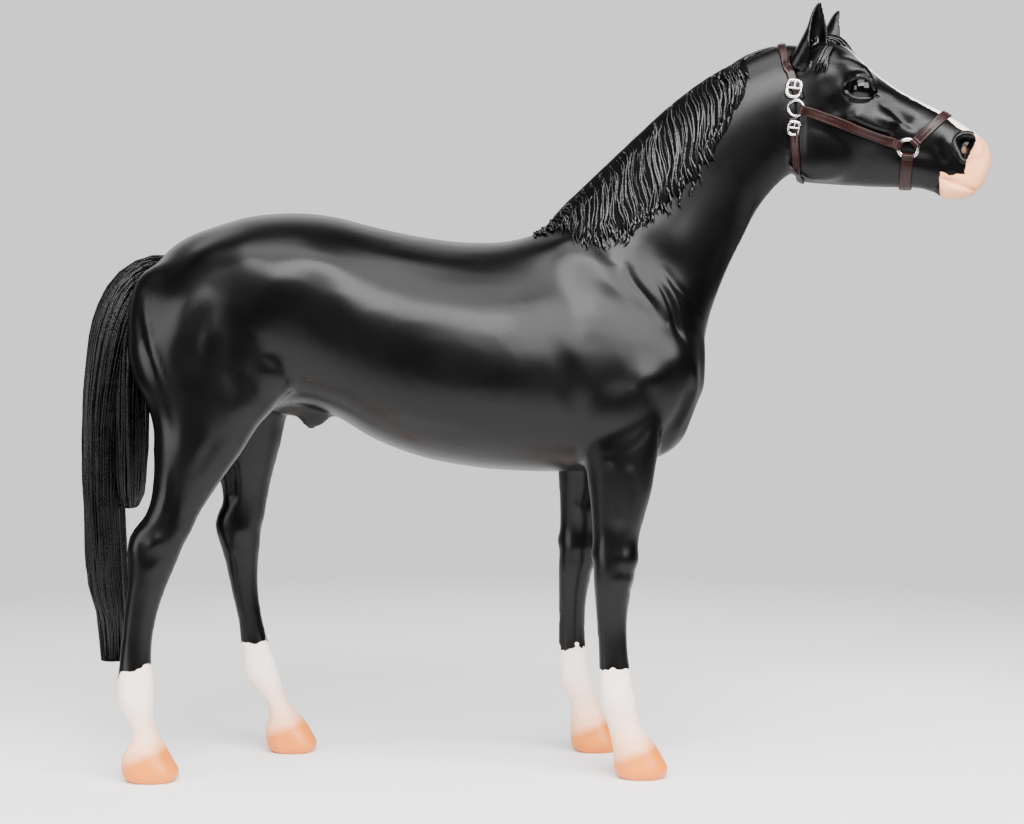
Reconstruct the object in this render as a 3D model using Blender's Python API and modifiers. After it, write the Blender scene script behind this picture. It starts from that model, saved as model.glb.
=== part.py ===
"""A plastic model of a standing Arabian horse at one ninth of life size, with a moulded halter.

The flesh is modelled whole: lofts through named stations and ellipsoid muscles are fused, smoothed and
decimated, then parted by thin plane cuts into trunk, neck, head, legs and hooves. Ears, eyes, mane,
forelock, tail and halter are solids of their own that lie on it.
Tables are in millimetres. +X is forwards, +Y the horse's left side, +Z up, and the floor is at z = 0.
"""

import math

import bmesh
import bpy
import numpy as np
from mathutils import Matrix, Vector
from mathutils.bvhtree import BVHTree

MM = 0.001
GAP = 0.3            # clearance between neighbouring pieces
VOXEL = 0.9          # grain of the fused body
FLESH_TRIANGLES = 3700
FACET_SWELL = 0.2    # the flat facets of the thinned mesh cut this far inside the round form
SIDES = 40           # points round a body section

# ---------------------------------------------------------------- driving dimensions
HEAD_PIVOT_X = 84.0  # the head turns about a vertical line through the poll
HEAD_TURN = math.radians(-13.0)   # the head looks to the horse's right
HEAD_SHIFT_Y = -2.5
RIGHT, LEFT = -1, 1

# Sections of trunk, neck and head: top x, top z, bottom x, bottom z, half width,
# height of the widest line (share of the depth), roundness above and below it, sideways offset.
TRUNK = [
    (-109.6, 147, -109.6, 124, 8.0, 0.50, 2.0, 2.0, 0),    # point of the buttocks
    (-105.8, 153.2, -106.5, 112, 16.5, 0.52, 2.0, 2.0, 0),
    (-99, 158.6, -100, 104, 21.5, 0.55, 2.0, 2.1, 0),
    (-88, 163.2, -88, 102.5, 25.5, 0.57, 2.0, 2.1, 0),
    (-76, 166.2, -76, 106.5, 27.5, 0.60, 2.1, 2.1, 0),   # croup
    (-64, 166.8, -64, 109.3, 28.5, 0.58, 2.1, 2.2, 0),
    (-53, 165.6, -53, 106, 28.5, 0.52, 2.1, 2.2, 0), # loin and flank
    (-42, 162.8, -42, 99.5, 30.0, 0.48, 2.1, 2.2, 0),
    (-28, 159.8, -28, 94.0, 32.0, 0.46, 2.1, 2.2, 0),
    (-13, 158.0, -13, 90.9, 32.6, 0.46, 2.0, 2.2, 0),  # barrel
    (0, 158.6, 0, 89.6, 31.0, 0.46, 1.9, 2.2, 0),
    (12, 162.5, 12, 89.2, 28.0, 0.44, 1.75, 2.2, 0),   # withers and girth
    (24, 164.0, 24, 89.6, 25.5, 0.42, 1.8, 2.2, 0),
    (35, 158.0, 35, 91.2, 23.5, 0.42, 1.9, 2.2, 0),
    (45, 149.0, 45, 96.5, 20.0, 0.44, 2.0, 2.1, 0),    # points of the shoulders
    (53, 140.0, 53, 104.0, 14.5, 0.48, 2.0, 2.0, 0),
    (57.6, 133.0, 57.6, 114.0, 7.5, 0.50, 2.0, 2.0, 0),
]
NECK = [
    (4, 155, 48, 108, 20.0, 0.46, 1.9, 2.1, 0),
    (12, 165.2, 56.5, 124, 19.0, 0.45, 1.8, 2.1, 0),
    (23, 175.6, 59.3, 136, 16.2, 0.45, 1.8, 2.0, 0),
    (35, 187.0, 63.4, 147.5, 13.2, 0.45, 1.8, 2.0, -0.4),
    (47.5, 198.4, 67.6, 156.8, 11.4, 0.46, 1.9, 2.0, -0.9),
    (59, 206.8, 71.6, 165.0, 10.4, 0.48, 2.0, 2.0, -1.5),
    (70.5, 213.2, 76.4, 172.2, 9.9, 0.50, 2.0, 2.1, -2.1),
    (80, 216.4, 82.5, 178.0, 9.4, 0.50, 2.0, 2.1, -2.5),
    (88, 216.0, 89, 180.0, 8.2, 0.50, 2.0, 2.1, -2.5),
]
HEAD = [
    (82, 214.3, 82.0, 180.5, 7.6, 0.60, 2.1, 2.2, 0),
    (87.2, 216.4, 85.6, 176.6, 9.4, 0.62, 2.1, 2.3, 0),   # poll to jaw angle
    (94.8, 217.2, 90.2, 175.4, 10.6, 0.66, 2.2, 2.3, 0),
    (101.2, 213.7, 96.0, 174.8, 11.0, 0.72, 2.4, 2.2, 0),  # forehead and eyes
    (107.4, 208.1, 102.2, 174.5, 9.8, 0.74, 2.7, 2.1, 0),
    (113.9, 203.2, 108.8, 174.2, 8.4, 0.72, 3.0, 2.1, 0),
    (120.4, 199.5, 115.4, 174.0, 7.1, 0.68, 3.0, 2.1, 0),
    (126.4, 196.5, 121.2, 173.7, 6.3, 0.62, 2.8, 2.2, 0),  # bridge of the nose
    (131.8, 193.2, 125.8, 172.3, 6.0, 0.58, 2.6, 2.3, 0),
    (136.4, 190.1, 129.6, 170.7, 5.9, 0.55, 2.5, 2.4, 0),  # nostrils and chin
    (139.6, 187.6, 133.8, 170.7, 5.4, 0.52, 2.4, 2.4, 0),
    (141.3, 184.2, 137.6, 172.5, 4.2, 0.50, 2.2, 2.2, 0),
    (141.6, 181.0, 139.8, 175.8, 2.2, 0.50, 2.0, 2.0, 0),
]

# Leg stations: z, x of the middle, half depth, distance from the midline, half width, roundness.
FORE_LEG = [
    (128, 33.0, 13.0, 12.5, 8.0, 2.0),
    (112, 31.3, 14.0, 14.0, 8.6, 2.0),
    (100, 31.4, 12.3, 15.3, 8.4, 2.1),   # elbow
    (91.5, 32.0, 10.3, 15.9, 7.9, 2.1),
    (84.5, 31.9, 9.2, 16.3, 7.1, 2.1),
    (77.5, 31.3, 7.9, 16.6, 6.2, 2.1),   # forearm
    (70.5, 30.6, 6.8, 16.8, 5.4, 2.2),
    (64.5, 30.5, 6.5, 17.0, 5.8, 2.5),   # knee
    (58.5, 30.0, 5.9, 17.0, 5.6, 2.5),
    (52.5, 29.6, 5.1, 17.1, 4.7, 2.3),
    (46, 29.5, 4.5, 17.2, 3.8, 2.2),
    (37, 29.9, 4.4, 17.4, 3.6, 2.2),     # cannon
    (29, 30.5, 4.8, 17.5, 4.2, 2.2),
    (23, 31.3, 5.2, 17.6, 4.9, 2.2),     # fetlock
    (18.5, 32.2, 5.0, 17.7, 4.5, 2.1),
    (15, 33.4, 5.1, 17.8, 4.4, 2.1),     # pastern
    (11.8, 34.9, 5.7, 17.9, 5.3, 2.1),
    (8.8, 36.3, 6.5, 18.0, 6.4, 2.2),    # coronet
    (5.8, 37.3, 7.3, 18.0, 7.0, 2.3),
    (2.8, 38.1, 7.9, 18.0, 7.4, 2.3),
    (0.8, 38.4, 7.4, 18.0, 7.0, 2.3),
    (-2, 38.1, 5.8, 18.0, 5.6, 2.3),     # below the sole's cut
]
HIND_LEG = [
    (142, -86.0, 19.0, 13.0, 12.0, 2.0),
    (130, -88.6, 24.4, 14.5, 13.0, 2.0),
    (118, -88.6, 22.6, 16.0, 12.0, 2.1),  # thigh
    (110, -88.3, 18.9, 17.0, 10.8, 2.1),
    (104, -89.9, 15.4, 17.8, 9.6, 2.1),
    (97, -92.0, 13.1, 18.6, 8.4, 2.1),    # gaskin
    (89.5, -94.7, 10.4, 19.3, 7.1, 2.1),
    (83, -97.3, 8.5, 19.9, 5.9, 2.1),
    (77.5, -100.0, 7.8, 20.3, 5.4, 2.2),
    (73.5, -102.5, 8.6, 20.6, 5.5, 2.4),
    (69.5, -104.4, 8.2, 20.9, 5.6, 2.4),  # hock
    (65, -105.3, 7.3, 21.1, 5.3, 2.3),
    (59.5, -106.5, 6.1, 21.3, 4.8, 2.2),
    (51, -108.5, 5.0, 21.6, 4.1, 2.2),
    (42, -109.9, 4.5, 21.9, 3.8, 2.2),    # cannon
    (34, -110.5, 4.8, 22.2, 4.0, 2.2),
    (28, -110.5, 5.4, 22.3, 4.7, 2.2),
    (23, -110.3, 5.2, 22.5, 5.0, 2.2),    # fetlock
    (18.6, -109.2, 4.0, 22.6, 4.6, 2.1),
    (15.6, -108.2, 3.5, 22.7, 4.3, 2.1),  # pastern
    (13.2, -107.6, 3.9, 22.8, 4.6, 2.1),
    (10.8, -107.4, 5.2, 22.9, 5.6, 2.2),
    (8.2, -107.5, 6.7, 23.0, 6.5, 2.2),   # coronet
    (5.4, -107.0, 7.7, 23.0, 7.2, 2.3),
    (2.6, -106.2, 8.2, 23.0, 7.5, 2.3),
    (0.8, -105.9, 7.7, 23.0, 7.2, 2.3),
    (-2, -105.9, 6.0, 23.0, 5.8, 2.3),
]
# How a leg's stance departs from its stations: z, step forwards, step outwards, slimness.
SQUARE = [(0, 0, 0, 1)]
FORE_LEFT = [
    (0, -12.2, 2.5, 0.94),
    (35, -11.4, 2.0, 0.93),
    (60, -9.9, 1.5, 0.93),
    (90, -8.5, 0.8, 0.95),
    (112, -4, 0, 1),
]
HIND_LEFT = [
    (0, 37.6, -3.5, 0.93),
    (7.5, 37.4, -3.5, 0.95),
    (22.5, 33.2, -3.2, 1.0),
    (41.5, 28.6, -2.8, 0.83),
    (59.5, 22.6, -2.2, 0.84),
    (78, 17.0, -1.6, 0.87),
    (110, 3.0, 0, 0.96),
    (130, 0, 0, 1),
]
LEGS = {
    "foreleg_right": (FORE_LEG, RIGHT, SQUARE),
    "foreleg_left": (FORE_LEG, LEFT, FORE_LEFT),
    "hindleg_right": (HIND_LEG, RIGHT, SQUARE),
    "hindleg_left": (HIND_LEG, LEFT, HIND_LEFT),
}

# Masses of each side: x, y, z of the middle, half length, half width, half height, pitch in degrees.
BODY_MASSES = [
    (29, 12.5, 139, 27, 8.2, 12, -48),     # shoulder blade
    (27, 15.5, 114, 15, 8.8, 15, 0),       # triceps
    (44, 10.0, 119, 11, 8.2, 13, -30),     # point of the shoulder
    (44.5, 7.5, 106, 7.5, 7.0, 12, -38),   # breast
    (-74, 13.0, 148, 25, 13.5, 14, 4),     # rump
    (-86, 16.0, 128, 22, 12.2, 26, 12),    # thigh
    (-104.3, 12.5, 130.5, 9.6, 10.5, 21.0, 3),  # back of the thigh
    (-72, 17.5, 121, 10, 8.0, 10, 0),      # stifle
]
HEAD_MASSES = [
    (93.0, 5.6, 187.5, 11.5, 4.6, 12.0, 0),   # cheek
    (102.6, 7.9, 207.0, 7.0, 3.4, 4.0, -38),  # brow
    (97.6, 6.4, 204.5, 9.0, 4.0, 6.0, -20),
    (111.0, 7.2, 196.0, 10.5, 2.0, 2.8, -27),  # cheek ridge
    (134.8, 4.0, 185.2, 5.2, 2.6, 4.6, -50),  # nostril wing
    (131.4, 1.5, 173.8, 6.0, 4.3, 3.3, 4),    # lower lip
]
SHEATH = [(-66, 0, 109, 9, 5, 5, 0), (-59.6, 0, 106.2, 4.2, 3.2, 4.2, 48)]

EYE = (104.1, 8.9, 203.2)
EYE_RADIUS = 3.5
NOSTRIL = (134.2, 6.3, 185.6, 3.4, 2.2, 1.9, -62)

# Planes that part the flesh: a point (x, z) on the plane, and its slope from the horizontal in degrees.
NECK_CUT = ((33, 150), -36.5)
HEAD_CUT = ((80.6, 198), 86)
# What each leg takes from the flesh: an outline of (x, z) that runs from the floor up, and the inner y.
LEG_REGIONS = {
    "foreleg_right": ([(17.5, -5), (52, -5), (52, 93), (17.5, 90.5)], 6.5),
    "foreleg_left": ([(11.5, -5), (50, -5), (50, 93), (11.5, 90.5)], 6.5),
    "hindleg_right": ([(-130, -5), (-63, -5), (-63, 112), (-130, 127)], 0),
    "hindleg_left": ([(-130, -5), (-55, -5), (-63, 112), (-130, 127)], 0),
}
CORONET_SLOPE = 22
CORONETS = {
    "hoof_fore_right": ("foreleg_right", 37.0, 11.0),
    "hoof_fore_left": ("foreleg_left", 25.0, 11.0),
    "hoof_hind_right": ("hindleg_right", -106.6, 11.2),
    "hoof_hind_left": ("hindleg_left", -69.6, 11.2),
}

# Ears: foot and tip in the head's own frame, and the turn of the opening about the ear's line.
EARS = {
    "ear_right": ((88.2, -5.6, 212.0), (92.8, -7.6, 227.9), -42),
    "ear_left": ((88.4, 5.6, 212.0), (97.0, 7.0, 226.9), 16),
}
EAR_OUTLINE = [(0.0, 2.9), (0.2, 3.3), (0.42, 3.35), (0.62, 2.8), (0.8, 1.75), (0.93, 0.95), (1.0, 0.45)]
EAR_WALL = 0.62

# Mane: x along the crest, height of the crest line, length of hair that hangs on the right side, thickness.
MANE = [
    (6, 163.0, 4.0, 0.7),
    (12, 168.0, 12.5, 1.4),
    (20, 175.3, 22.0, 1.9),
    (32, 186.8, 31.0, 2.2),
    (44, 197.6, 34.0, 2.3),
    (54, 205.2, 31.0, 2.2),
    (60, 209.0, 20.0, 1.9),
    (66, 212.3, 9.5, 1.3),
    (72, 215.0, 4.0, 0.8),
]
MANE_COLUMNS = 26
MANE_ROWS = 7
MANE_LOCKS = 8          # broad locks along the neck
MANE_LOCK_DEPTH = 0.45
SUNK = 1.2               # how deep mane and forelock start, before they are cut clear of the skin
MANE_OVER_CREST = 1.6    # how far the roots reach over to the left side

# Tail: x and z of the middle, half depth, half width, tilt of the section in degrees.
TAIL = [
    (-100.5, 151.2, 3.2, 3.8, -78),
    (-107.5, 149.6, 4.3, 5.2, -66),
    (-114.2, 143.4, 6.0, 7.4, -36),
    (-118.2, 133.0, 7.6, 10.0, -15),
    (-119.6, 119.6, 8.7, 12.2, -4),
    (-119.6, 104.0, 9.3, 13.4, 0),
    (-119.4, 90.0, 9.3, 13.4, 0),
    (-120.4, 80.5, 8.0, 12.6, 0),
    (-121.6, 72.0, 6.6, 11.4, 0),
    (-121.8, 60.0, 6.2, 10.0, 0),
    (-121.8, 50.0, 5.4, 8.2, 0),
    (-121.6, 41.0, 4.8, 6.2, 0),
    (-121.5, 35.0, 3.8, 4.4, 0),
    (-121.2, 31.4, 1.4, 1.8, 0),
]
TAIL_SIDES = 21
TAIL_RINGS = 18
TAIL_LOCKS = 7
TAIL_LOCK_DEPTH = 0.055

# Halter. A band lies in a plane square to the head's side view: the (x, z) its rays leave from, the pitch
# of the ray that is mid-way round, and how far round it reaches to each side. All are in the head's frame.
STRAP_WIDTH = 2.7
STRAP_THICK = 0.75
STRAP_LIFT = 0.5     # clears the skin where it curves between two rays
BANDS = {
    "halter_crown": ((84.9, 203.2), 115, 63, 2.5),
    "halter_throat": ((85.0, 190.6), -85, 74, 2.5),
    "halter_noseband": ((118.2, 185.1), 44, 62, STRAP_WIDTH),
    "halter_chin": ((118.0, 185.1), -96, 62, 3.6),
}
CHEEK_LINE = ((88.6, 196.2), (114.2, 186.6))
# Metal loops on each side: x, z, half length, half height, wire radius.
LOOPS = {
    "halter_buckle_upper": (84.6, 203.6, 2.0, 2.5, 0.5),
    "halter_ring_upper": (85.6, 197.2, 2.2, 2.2, 0.5),
    "halter_buckle_lower": (84.8, 191.4, 1.7, 1.9, 0.45),
    "halter_ring_lower": (118.0, 185.3, 2.9, 2.6, 0.6),
}
LOOP_CLEARANCE = 0.45


def spline(stations, share):
    """A smooth curve through the rows of a table, by the distance between them. share runs from 0 to 1."""
    rows = np.array(stations, float)
    steps = np.linalg.norm(np.diff(rows[:, :4], axis=0), axis=1)
    knots = np.concatenate([[0.0], np.cumsum(steps)])
    slopes = np.gradient(rows, knots, axis=0)
    at = np.clip(np.asarray(share, float), 0, 1) * knots[-1]
    k = np.clip(np.searchsorted(knots, at, side="right") - 1, 0, len(rows) - 2)
    span = (knots[k + 1] - knots[k])[:, None]
    t = ((at - knots[k])[:, None]) / span
    return (
        rows[k] * (2 * t**3 - 3 * t**2 + 1)
        + slopes[k] * span * (t**3 - 2 * t**2 + t)
        + rows[k + 1] * (-2 * t**3 + 3 * t**2)
        + slopes[k + 1] * span * (t**3 - t**2)
    )


def superellipse(angles, roundness):
    """Points round a unit section. A roundness of 2 is an ellipse and more is squarer."""
    power = 2.0 / roundness
    across = np.sign(np.cos(angles)) * np.abs(np.cos(angles)) ** power
    along = np.sign(np.sin(angles)) * np.abs(np.sin(angles)) ** power
    return across, along


def closed_tube(name, rings):
    """A closed mesh through rings of points, in millimetres, with its two ends capped."""
    rings = np.asarray(rings, float) * MM
    count, sides = rings.shape[:2]
    faces = [
        (r * sides + s, r * sides + (s + 1) % sides, (r + 1) * sides + (s + 1) % sides, (r + 1) * sides + s)
        for r in range(count - 1)
        for s in range(sides)
    ]
    faces.append(tuple(reversed(range(sides))))
    faces.append(tuple(range((count - 1) * sides, count * sides)))
    return mesh_object(name, rings.reshape(-1, 3), faces)


def mesh_object(name, points, faces):
    mesh = bpy.data.meshes.new(name)
    mesh.from_pydata([tuple(p) for p in points], [], faces)
    body = bmesh.new()
    body.from_mesh(mesh)
    bmesh.ops.recalc_face_normals(body, faces=body.faces)
    body.to_mesh(mesh)
    body.free()
    made = bpy.data.objects.new(name, mesh)
    bpy.context.scene.collection.objects.link(made)
    return made


def loft_profile(name, table, rings=44):
    """A loft through sections that stand between a top and a bottom point, egg-shaped across."""
    angles = np.linspace(0, 2 * math.pi, SIDES, endpoint=False)
    sections = []
    for row in spline(table, np.linspace(0, 1, rings)):
        top, bottom = np.array(row[0:2]), np.array(row[2:4])
        half_width, wide_at, round_top, round_bottom, offset = row[4:]
        middle = bottom + (top - bottom) * wide_at
        upper = np.sin(angles) >= 0
        across_up, along_up = superellipse(angles, round_top)
        across_low, along_low = superellipse(angles, round_bottom)
        across = np.where(upper, across_up, across_low)
        along = np.where(upper, along_up * (1 - wide_at), along_low * wide_at)
        height = middle[None, :] + along[:, None] * (top - bottom)[None, :]
        sections.append(np.stack([height[:, 0], across * half_width + offset, height[:, 1]], 1))
    return closed_tube(name, sections)


def loft_leg(name, table, side, stance, rings=64):
    """A leg from level sections."""
    angles = np.linspace(0, 2 * math.pi, 28, endpoint=False)
    knots = np.array(stance, float).T
    sections = []
    for z, x, half_depth, y, half_width, roundness in spline(table, np.linspace(0, 1, rings)):
        forwards, outwards, slim = (np.interp(z, knots[0], column) for column in knots[1:])
        along, across = superellipse(angles, roundness)
        level = np.full(len(angles), z)
        xs = x + forwards + along * half_depth * slim
        ys = side * (y + outwards + across * half_width * (1 + slim) / 2)
        sections.append(np.stack([xs, ys, level], 1))
    return closed_tube(name, sections)


def ellipsoid(name, x, y, z, half_length, half_width, half_height, pitch, segments=32):
    """A stretched sphere, pitched nose-up about the crosswise axis."""
    bpy.ops.mesh.primitive_uv_sphere_add(segments=segments, ring_count=segments * 5 // 8, radius=1)
    made = bpy.context.object
    made.name = name
    made.data.transform(
        Matrix.Translation(Vector((x, y, z)) * MM)
        @ Matrix.Rotation(-math.radians(pitch), 4, "Y")
        @ Matrix.Diagonal((half_length * MM, half_width * MM, half_height * MM, 1))
    )
    return made


def masses(table):
    made = []
    for x, y, z, *shape in table:
        made += [ellipsoid("mass", x, side * y, z, *shape) for side in ((RIGHT, LEFT) if y else (1,))]
    return made


def head_matrix():
    """From the head's own straight frame to its turned place on the neck."""
    pivot = Matrix.Translation((HEAD_PIVOT_X * MM, 0, 0))
    shift = Matrix.Translation((0, HEAD_SHIFT_Y * MM, 0))
    return shift @ pivot @ Matrix.Rotation(HEAD_TURN, 4, "Z") @ pivot.inverted()


def placed_on_head(objects):
    for made in objects:
        made.data.transform(head_matrix())
    return objects


def joined(name, objects):
    """One mesh of all the closed shapes, which still pass through each other."""
    body = bmesh.new()
    for made in objects:
        body.from_mesh(made.data)
        bpy.data.objects.remove(made)
    mesh = bpy.data.meshes.new(name)
    body.to_mesh(mesh)
    body.free()
    whole = bpy.data.objects.new(name, mesh)
    bpy.context.scene.collection.objects.link(whole)
    return whole


def applied(made):
    """Makes the modifiers' result the object's own mesh."""
    graph = bpy.context.evaluated_depsgraph_get()
    mesh = bpy.data.meshes.new_from_object(made.evaluated_get(graph))
    made.modifiers.clear()
    made.data = mesh
    return made


def relaxed(made, rounds):
    """Smoothing that keeps the volume: each inward step is followed by an outward one.
    The legs and the head keep more of their form than the trunk and the neck."""
    mesh = made.data
    count = len(mesh.vertices)
    points = np.empty(count * 3)
    mesh.vertices.foreach_get("co", points)
    points = points.reshape(-1, 3)
    ends = np.empty(len(mesh.edges) * 2, np.int32)
    mesh.edges.foreach_get("vertices", ends)
    first, last = ends.reshape(-1, 2).T
    degree = np.bincount(first, minlength=count) + np.bincount(last, minlength=count)
    low = np.interp(points[:, 2], [80 * MM, 104 * MM], [0.16, 1.0])
    face = np.interp(points[:, 0], [70 * MM, 90 * MM], [1.0, 0.16])
    weight = np.minimum(low, face)[:, None]
    for _ in range(rounds):
        for factor in (0.6, -0.62):
            total = np.stack(
                [
                    np.bincount(first, points[last, k], count) + np.bincount(last, points[first, k], count)
                    for k in range(3)
                ],
                1,
            )
            points = points + factor * weight * (total / degree[:, None] - points)
    mesh.vertices.foreach_set("co", points.ravel())
    mesh.update()
    return made


def fused(objects, voxel, rounds):
    whole = joined("flesh", objects)
    remesh = whole.modifiers.new("fuse", "REMESH")
    remesh.mode = "VOXEL"
    remesh.voxel_size = voxel * MM
    remesh.adaptivity = 0
    applied(whole)
    return relaxed(whole, rounds)


def thinned(made, triangles):
    made.data.calc_loop_triangles()
    fewer = made.modifiers.new("thin", "DECIMATE")
    fewer.ratio = min(1.0, triangles / len(made.data.loop_triangles))
    return applied(made)


def boolean(target, cutter, operation, keep_cutter=False):
    cut = target.modifiers.new(operation.lower(), "BOOLEAN")
    cut.operation = operation
    cut.object = cutter
    cut.solver = "EXACT"
    cut.use_self = True
    applied(target)
    if not keep_cutter:
        bpy.data.objects.remove(cutter)
    return target


def swollen(made, distance):
    """Moves a closed mesh's surface outwards."""
    body = bmesh.new()
    body.from_mesh(made.data)
    body.normal_update()
    for vertex in body.verts:
        vertex.co += vertex.normal * distance * MM
    body.to_mesh(made.data)
    body.free()
    return made


def copied(made, name):
    twin = bpy.data.objects.new(name, made.data.copy())
    bpy.context.scene.collection.objects.link(twin)
    return twin


def half_space(made, point, normal):
    """Keeps the part of a closed mesh on the far side of a plane, and closes the cut."""
    body = bmesh.new()
    body.from_mesh(made.data)
    geometry = body.verts[:] + body.edges[:] + body.faces[:]
    bmesh.ops.bisect_plane(
        body, geom=geometry, dist=1e-7, plane_co=Vector(point) * MM, plane_no=Vector(normal), clear_inner=True
    )
    rim = [edge for edge in body.edges if edge.is_boundary]
    bmesh.ops.holes_fill(body, edges=rim, sides=0)
    bmesh.ops.triangulate(body, faces=[face for face in body.faces if len(face.verts) > 3])
    bmesh.ops.recalc_face_normals(body, faces=body.faces)
    body.to_mesh(made.data)
    body.free()
    return made


def slanted(cut, keep_above, half_gap=GAP / 2):
    """Point and normal for half_space from a cut's (x, z) and slope."""
    (x, z), slope = cut
    angle = math.radians(slope)
    normal = np.array([-math.sin(angle), 0.0, math.cos(angle)])
    if not keep_above:
        normal = -normal
    point = np.array([x, 0.0, z]) + normal * half_gap
    return tuple(point), tuple(normal)


def turned_with_head(cut, keep_above):
    """The same for a plane that stands square to the turned head."""
    point, normal = slanted(cut, keep_above)
    matrix = head_matrix()
    point = (matrix @ (Vector(point) * MM)) / MM
    return tuple(point), tuple(matrix.to_3x3() @ Vector(normal))


def prism(outline, y_low, y_high):
    """A cutter: an outline of (x, z) points run crosswise."""
    count = len(outline)
    points = [(x * MM, y * MM, z * MM) for y in (y_low, y_high) for x, z in outline]
    faces = [tuple(range(count)), tuple(range(2 * count - 1, count - 1, -1))]
    faces += [(i, (i + 1) % count, count + (i + 1) % count, count + i) for i in range(count)]
    return mesh_object("cutter", points, faces)


def surface_of(made):
    """A tree for finding where lines meet a mesh."""
    body = bmesh.new()
    body.from_mesh(made.data)
    tree = BVHTree.FromBMesh(body)
    body.free()
    return tree


def body_lofts():
    lofts = [loft_profile("trunk_loft", TRUNK), loft_profile("neck_loft", NECK)]
    lofts += [loft_leg(name, *leg) for name, leg in LEGS.items()]
    return lofts + masses(BODY_MASSES) + masses(SHEATH)


def head_lofts():
    return placed_on_head([loft_profile("head_loft", HEAD)] + masses(HEAD_MASSES))


def flesh():
    """The whole fused body with eye sockets and nostrils, standing on flat soles."""
    whole = fused(body_lofts() + head_lofts(), VOXEL, 45)
    swollen(whole, FACET_SWELL)
    thinned(whole, FLESH_TRIANGLES)
    for side in (RIGHT, LEFT):
        x, y, z = EYE
        socket = ellipsoid("socket", x, side * y, z, *([EYE_RADIUS + GAP] * 3), 0, 16)
        nx, ny, nz, *shape = NOSTRIL
        nostril = ellipsoid("nostril_cut", nx, side * ny, nz, *shape, 12)
        for cutter in placed_on_head([socket, nostril]):
            boolean(whole, cutter, "DIFFERENCE")
    return half_space(whole, (0, 0, 0), (0, 0, 1))


def leg_cutter(leg, grown):
    """A prism that holds one leg, grown by a distance on the sides that meet the trunk."""
    outline, inner = LEG_REGIONS[leg]
    side = LEGS[leg][1]
    (rear, floor), (front, _), (front_top, top_front), (rear_top, top_rear) = outline
    shape = [
        (rear - grown, floor),
        (front + grown, floor),
        (front_top + grown, top_front + grown),
        (rear_top - grown, top_rear + grown),
    ]
    near = inner - grown if inner else GAP / 2 - grown
    return prism(shape, *sorted((side * near, side * 60)))


def part_flesh(whole):
    """Parts the flesh into its named nodes by thin cuts."""
    nodes = {}
    front = half_space(copied(whole, "head"), *slanted(NECK_CUT, True))
    nodes["neck"] = half_space(copied(front, "neck"), *turned_with_head(HEAD_CUT, True))
    nodes["head"] = half_space(front, *turned_with_head(HEAD_CUT, False))
    nodes["trunk"] = half_space(copied(whole, "trunk"), *slanted(NECK_CUT, False))
    for leg in LEGS:
        nodes[leg] = boolean(copied(whole, leg), leg_cutter(leg, 0), "INTERSECT")
        boolean(nodes["trunk"], leg_cutter(leg, GAP), "DIFFERENCE")
    for hoof, (leg, x, z) in CORONETS.items():
        cut = ((x, z), CORONET_SLOPE)
        nodes[hoof] = half_space(copied(nodes[leg], hoof), *slanted(cut, False))
        half_space(nodes[leg], *slanted(cut, True))
    return nodes


def ear(name, clearance):
    """A leaf-shaped cup: an outer cone of round sections less a smaller one that opens forwards."""
    foot, tip, turn = EARS[name]
    foot, tip = Vector(foot), Vector(tip)
    line = tip - foot
    frame = line.to_track_quat("Z", "X").to_matrix() @ Matrix.Rotation(math.radians(turn), 3, "Z")
    angles = np.linspace(0, 2 * math.pi, 10, endpoint=False)

    def cone(shrink, forward, start):
        sections = []
        outline = [(share, half_width, 0, 0) for share, half_width in EAR_OUTLINE]
        for share, half_width in spline(outline, np.linspace(start, 1, 7))[:, :2]:
            wide = max(half_width - shrink, 0.1)
            deep = max(half_width * 0.8 - shrink, 0.08)
            ring = [
                foot + line * share + frame @ Vector((forward + deep * math.cos(a), wide * math.sin(a), 0))
                for a in angles
            ]
            sections.append(ring)
        return sections

    outer = closed_tube(name, cone(0.0, 0.0, 0.0))
    hollow = closed_tube("ear_hollow", cone(EAR_WALL, 1.5, 0.2))
    placed_on_head([outer, hollow])
    boolean(outer, hollow, "DIFFERENCE")
    return boolean(outer, clearance, "DIFFERENCE", keep_cutter=True)


def eye(name, side):
    x, y, z = EYE
    bpy.ops.mesh.primitive_uv_sphere_add(segments=14, ring_count=8, radius=EYE_RADIUS * MM)
    made = bpy.context.object
    made.name = name
    made.data.transform(Matrix.Translation(Vector((x, side * y, z)) * MM))
    return placed_on_head([made])[0]


def skin_point(tree, origin, direction):
    """Where a line from inside the flesh leaves it, and the outward normal there."""
    place, normal, _, _ = tree.ray_cast(Vector(origin) * MM, Vector(direction))
    if normal.dot(Vector(direction)) < 0:
        normal = -normal
    return place / MM, normal


def from_head(tree, origin, direction):
    """The same, for an origin and direction in the head's own frame."""
    matrix = head_matrix()
    return skin_point(tree, (matrix @ (Vector(origin) * MM)) / MM, matrix.to_3x3() @ Vector(direction))


def mane_point(tree, x, crest_z, path, lift):
    """A point over the neck: over the crest first, then down the right side."""
    deep = 11.0
    y = float(np.interp(x, [23, 35, 47, 59, 71, 80], [0, -0.4, -0.9, -1.5, -2.1, -2.5]))
    turn = min(max(path / deep, -0.3), math.pi / 2)
    drop = max(0.0, path - deep * 1.13)
    place, normal = skin_point(tree, (x, y, crest_z - deep - drop), (0, -math.sin(turn), math.cos(turn)))
    return place + normal * lift


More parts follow.
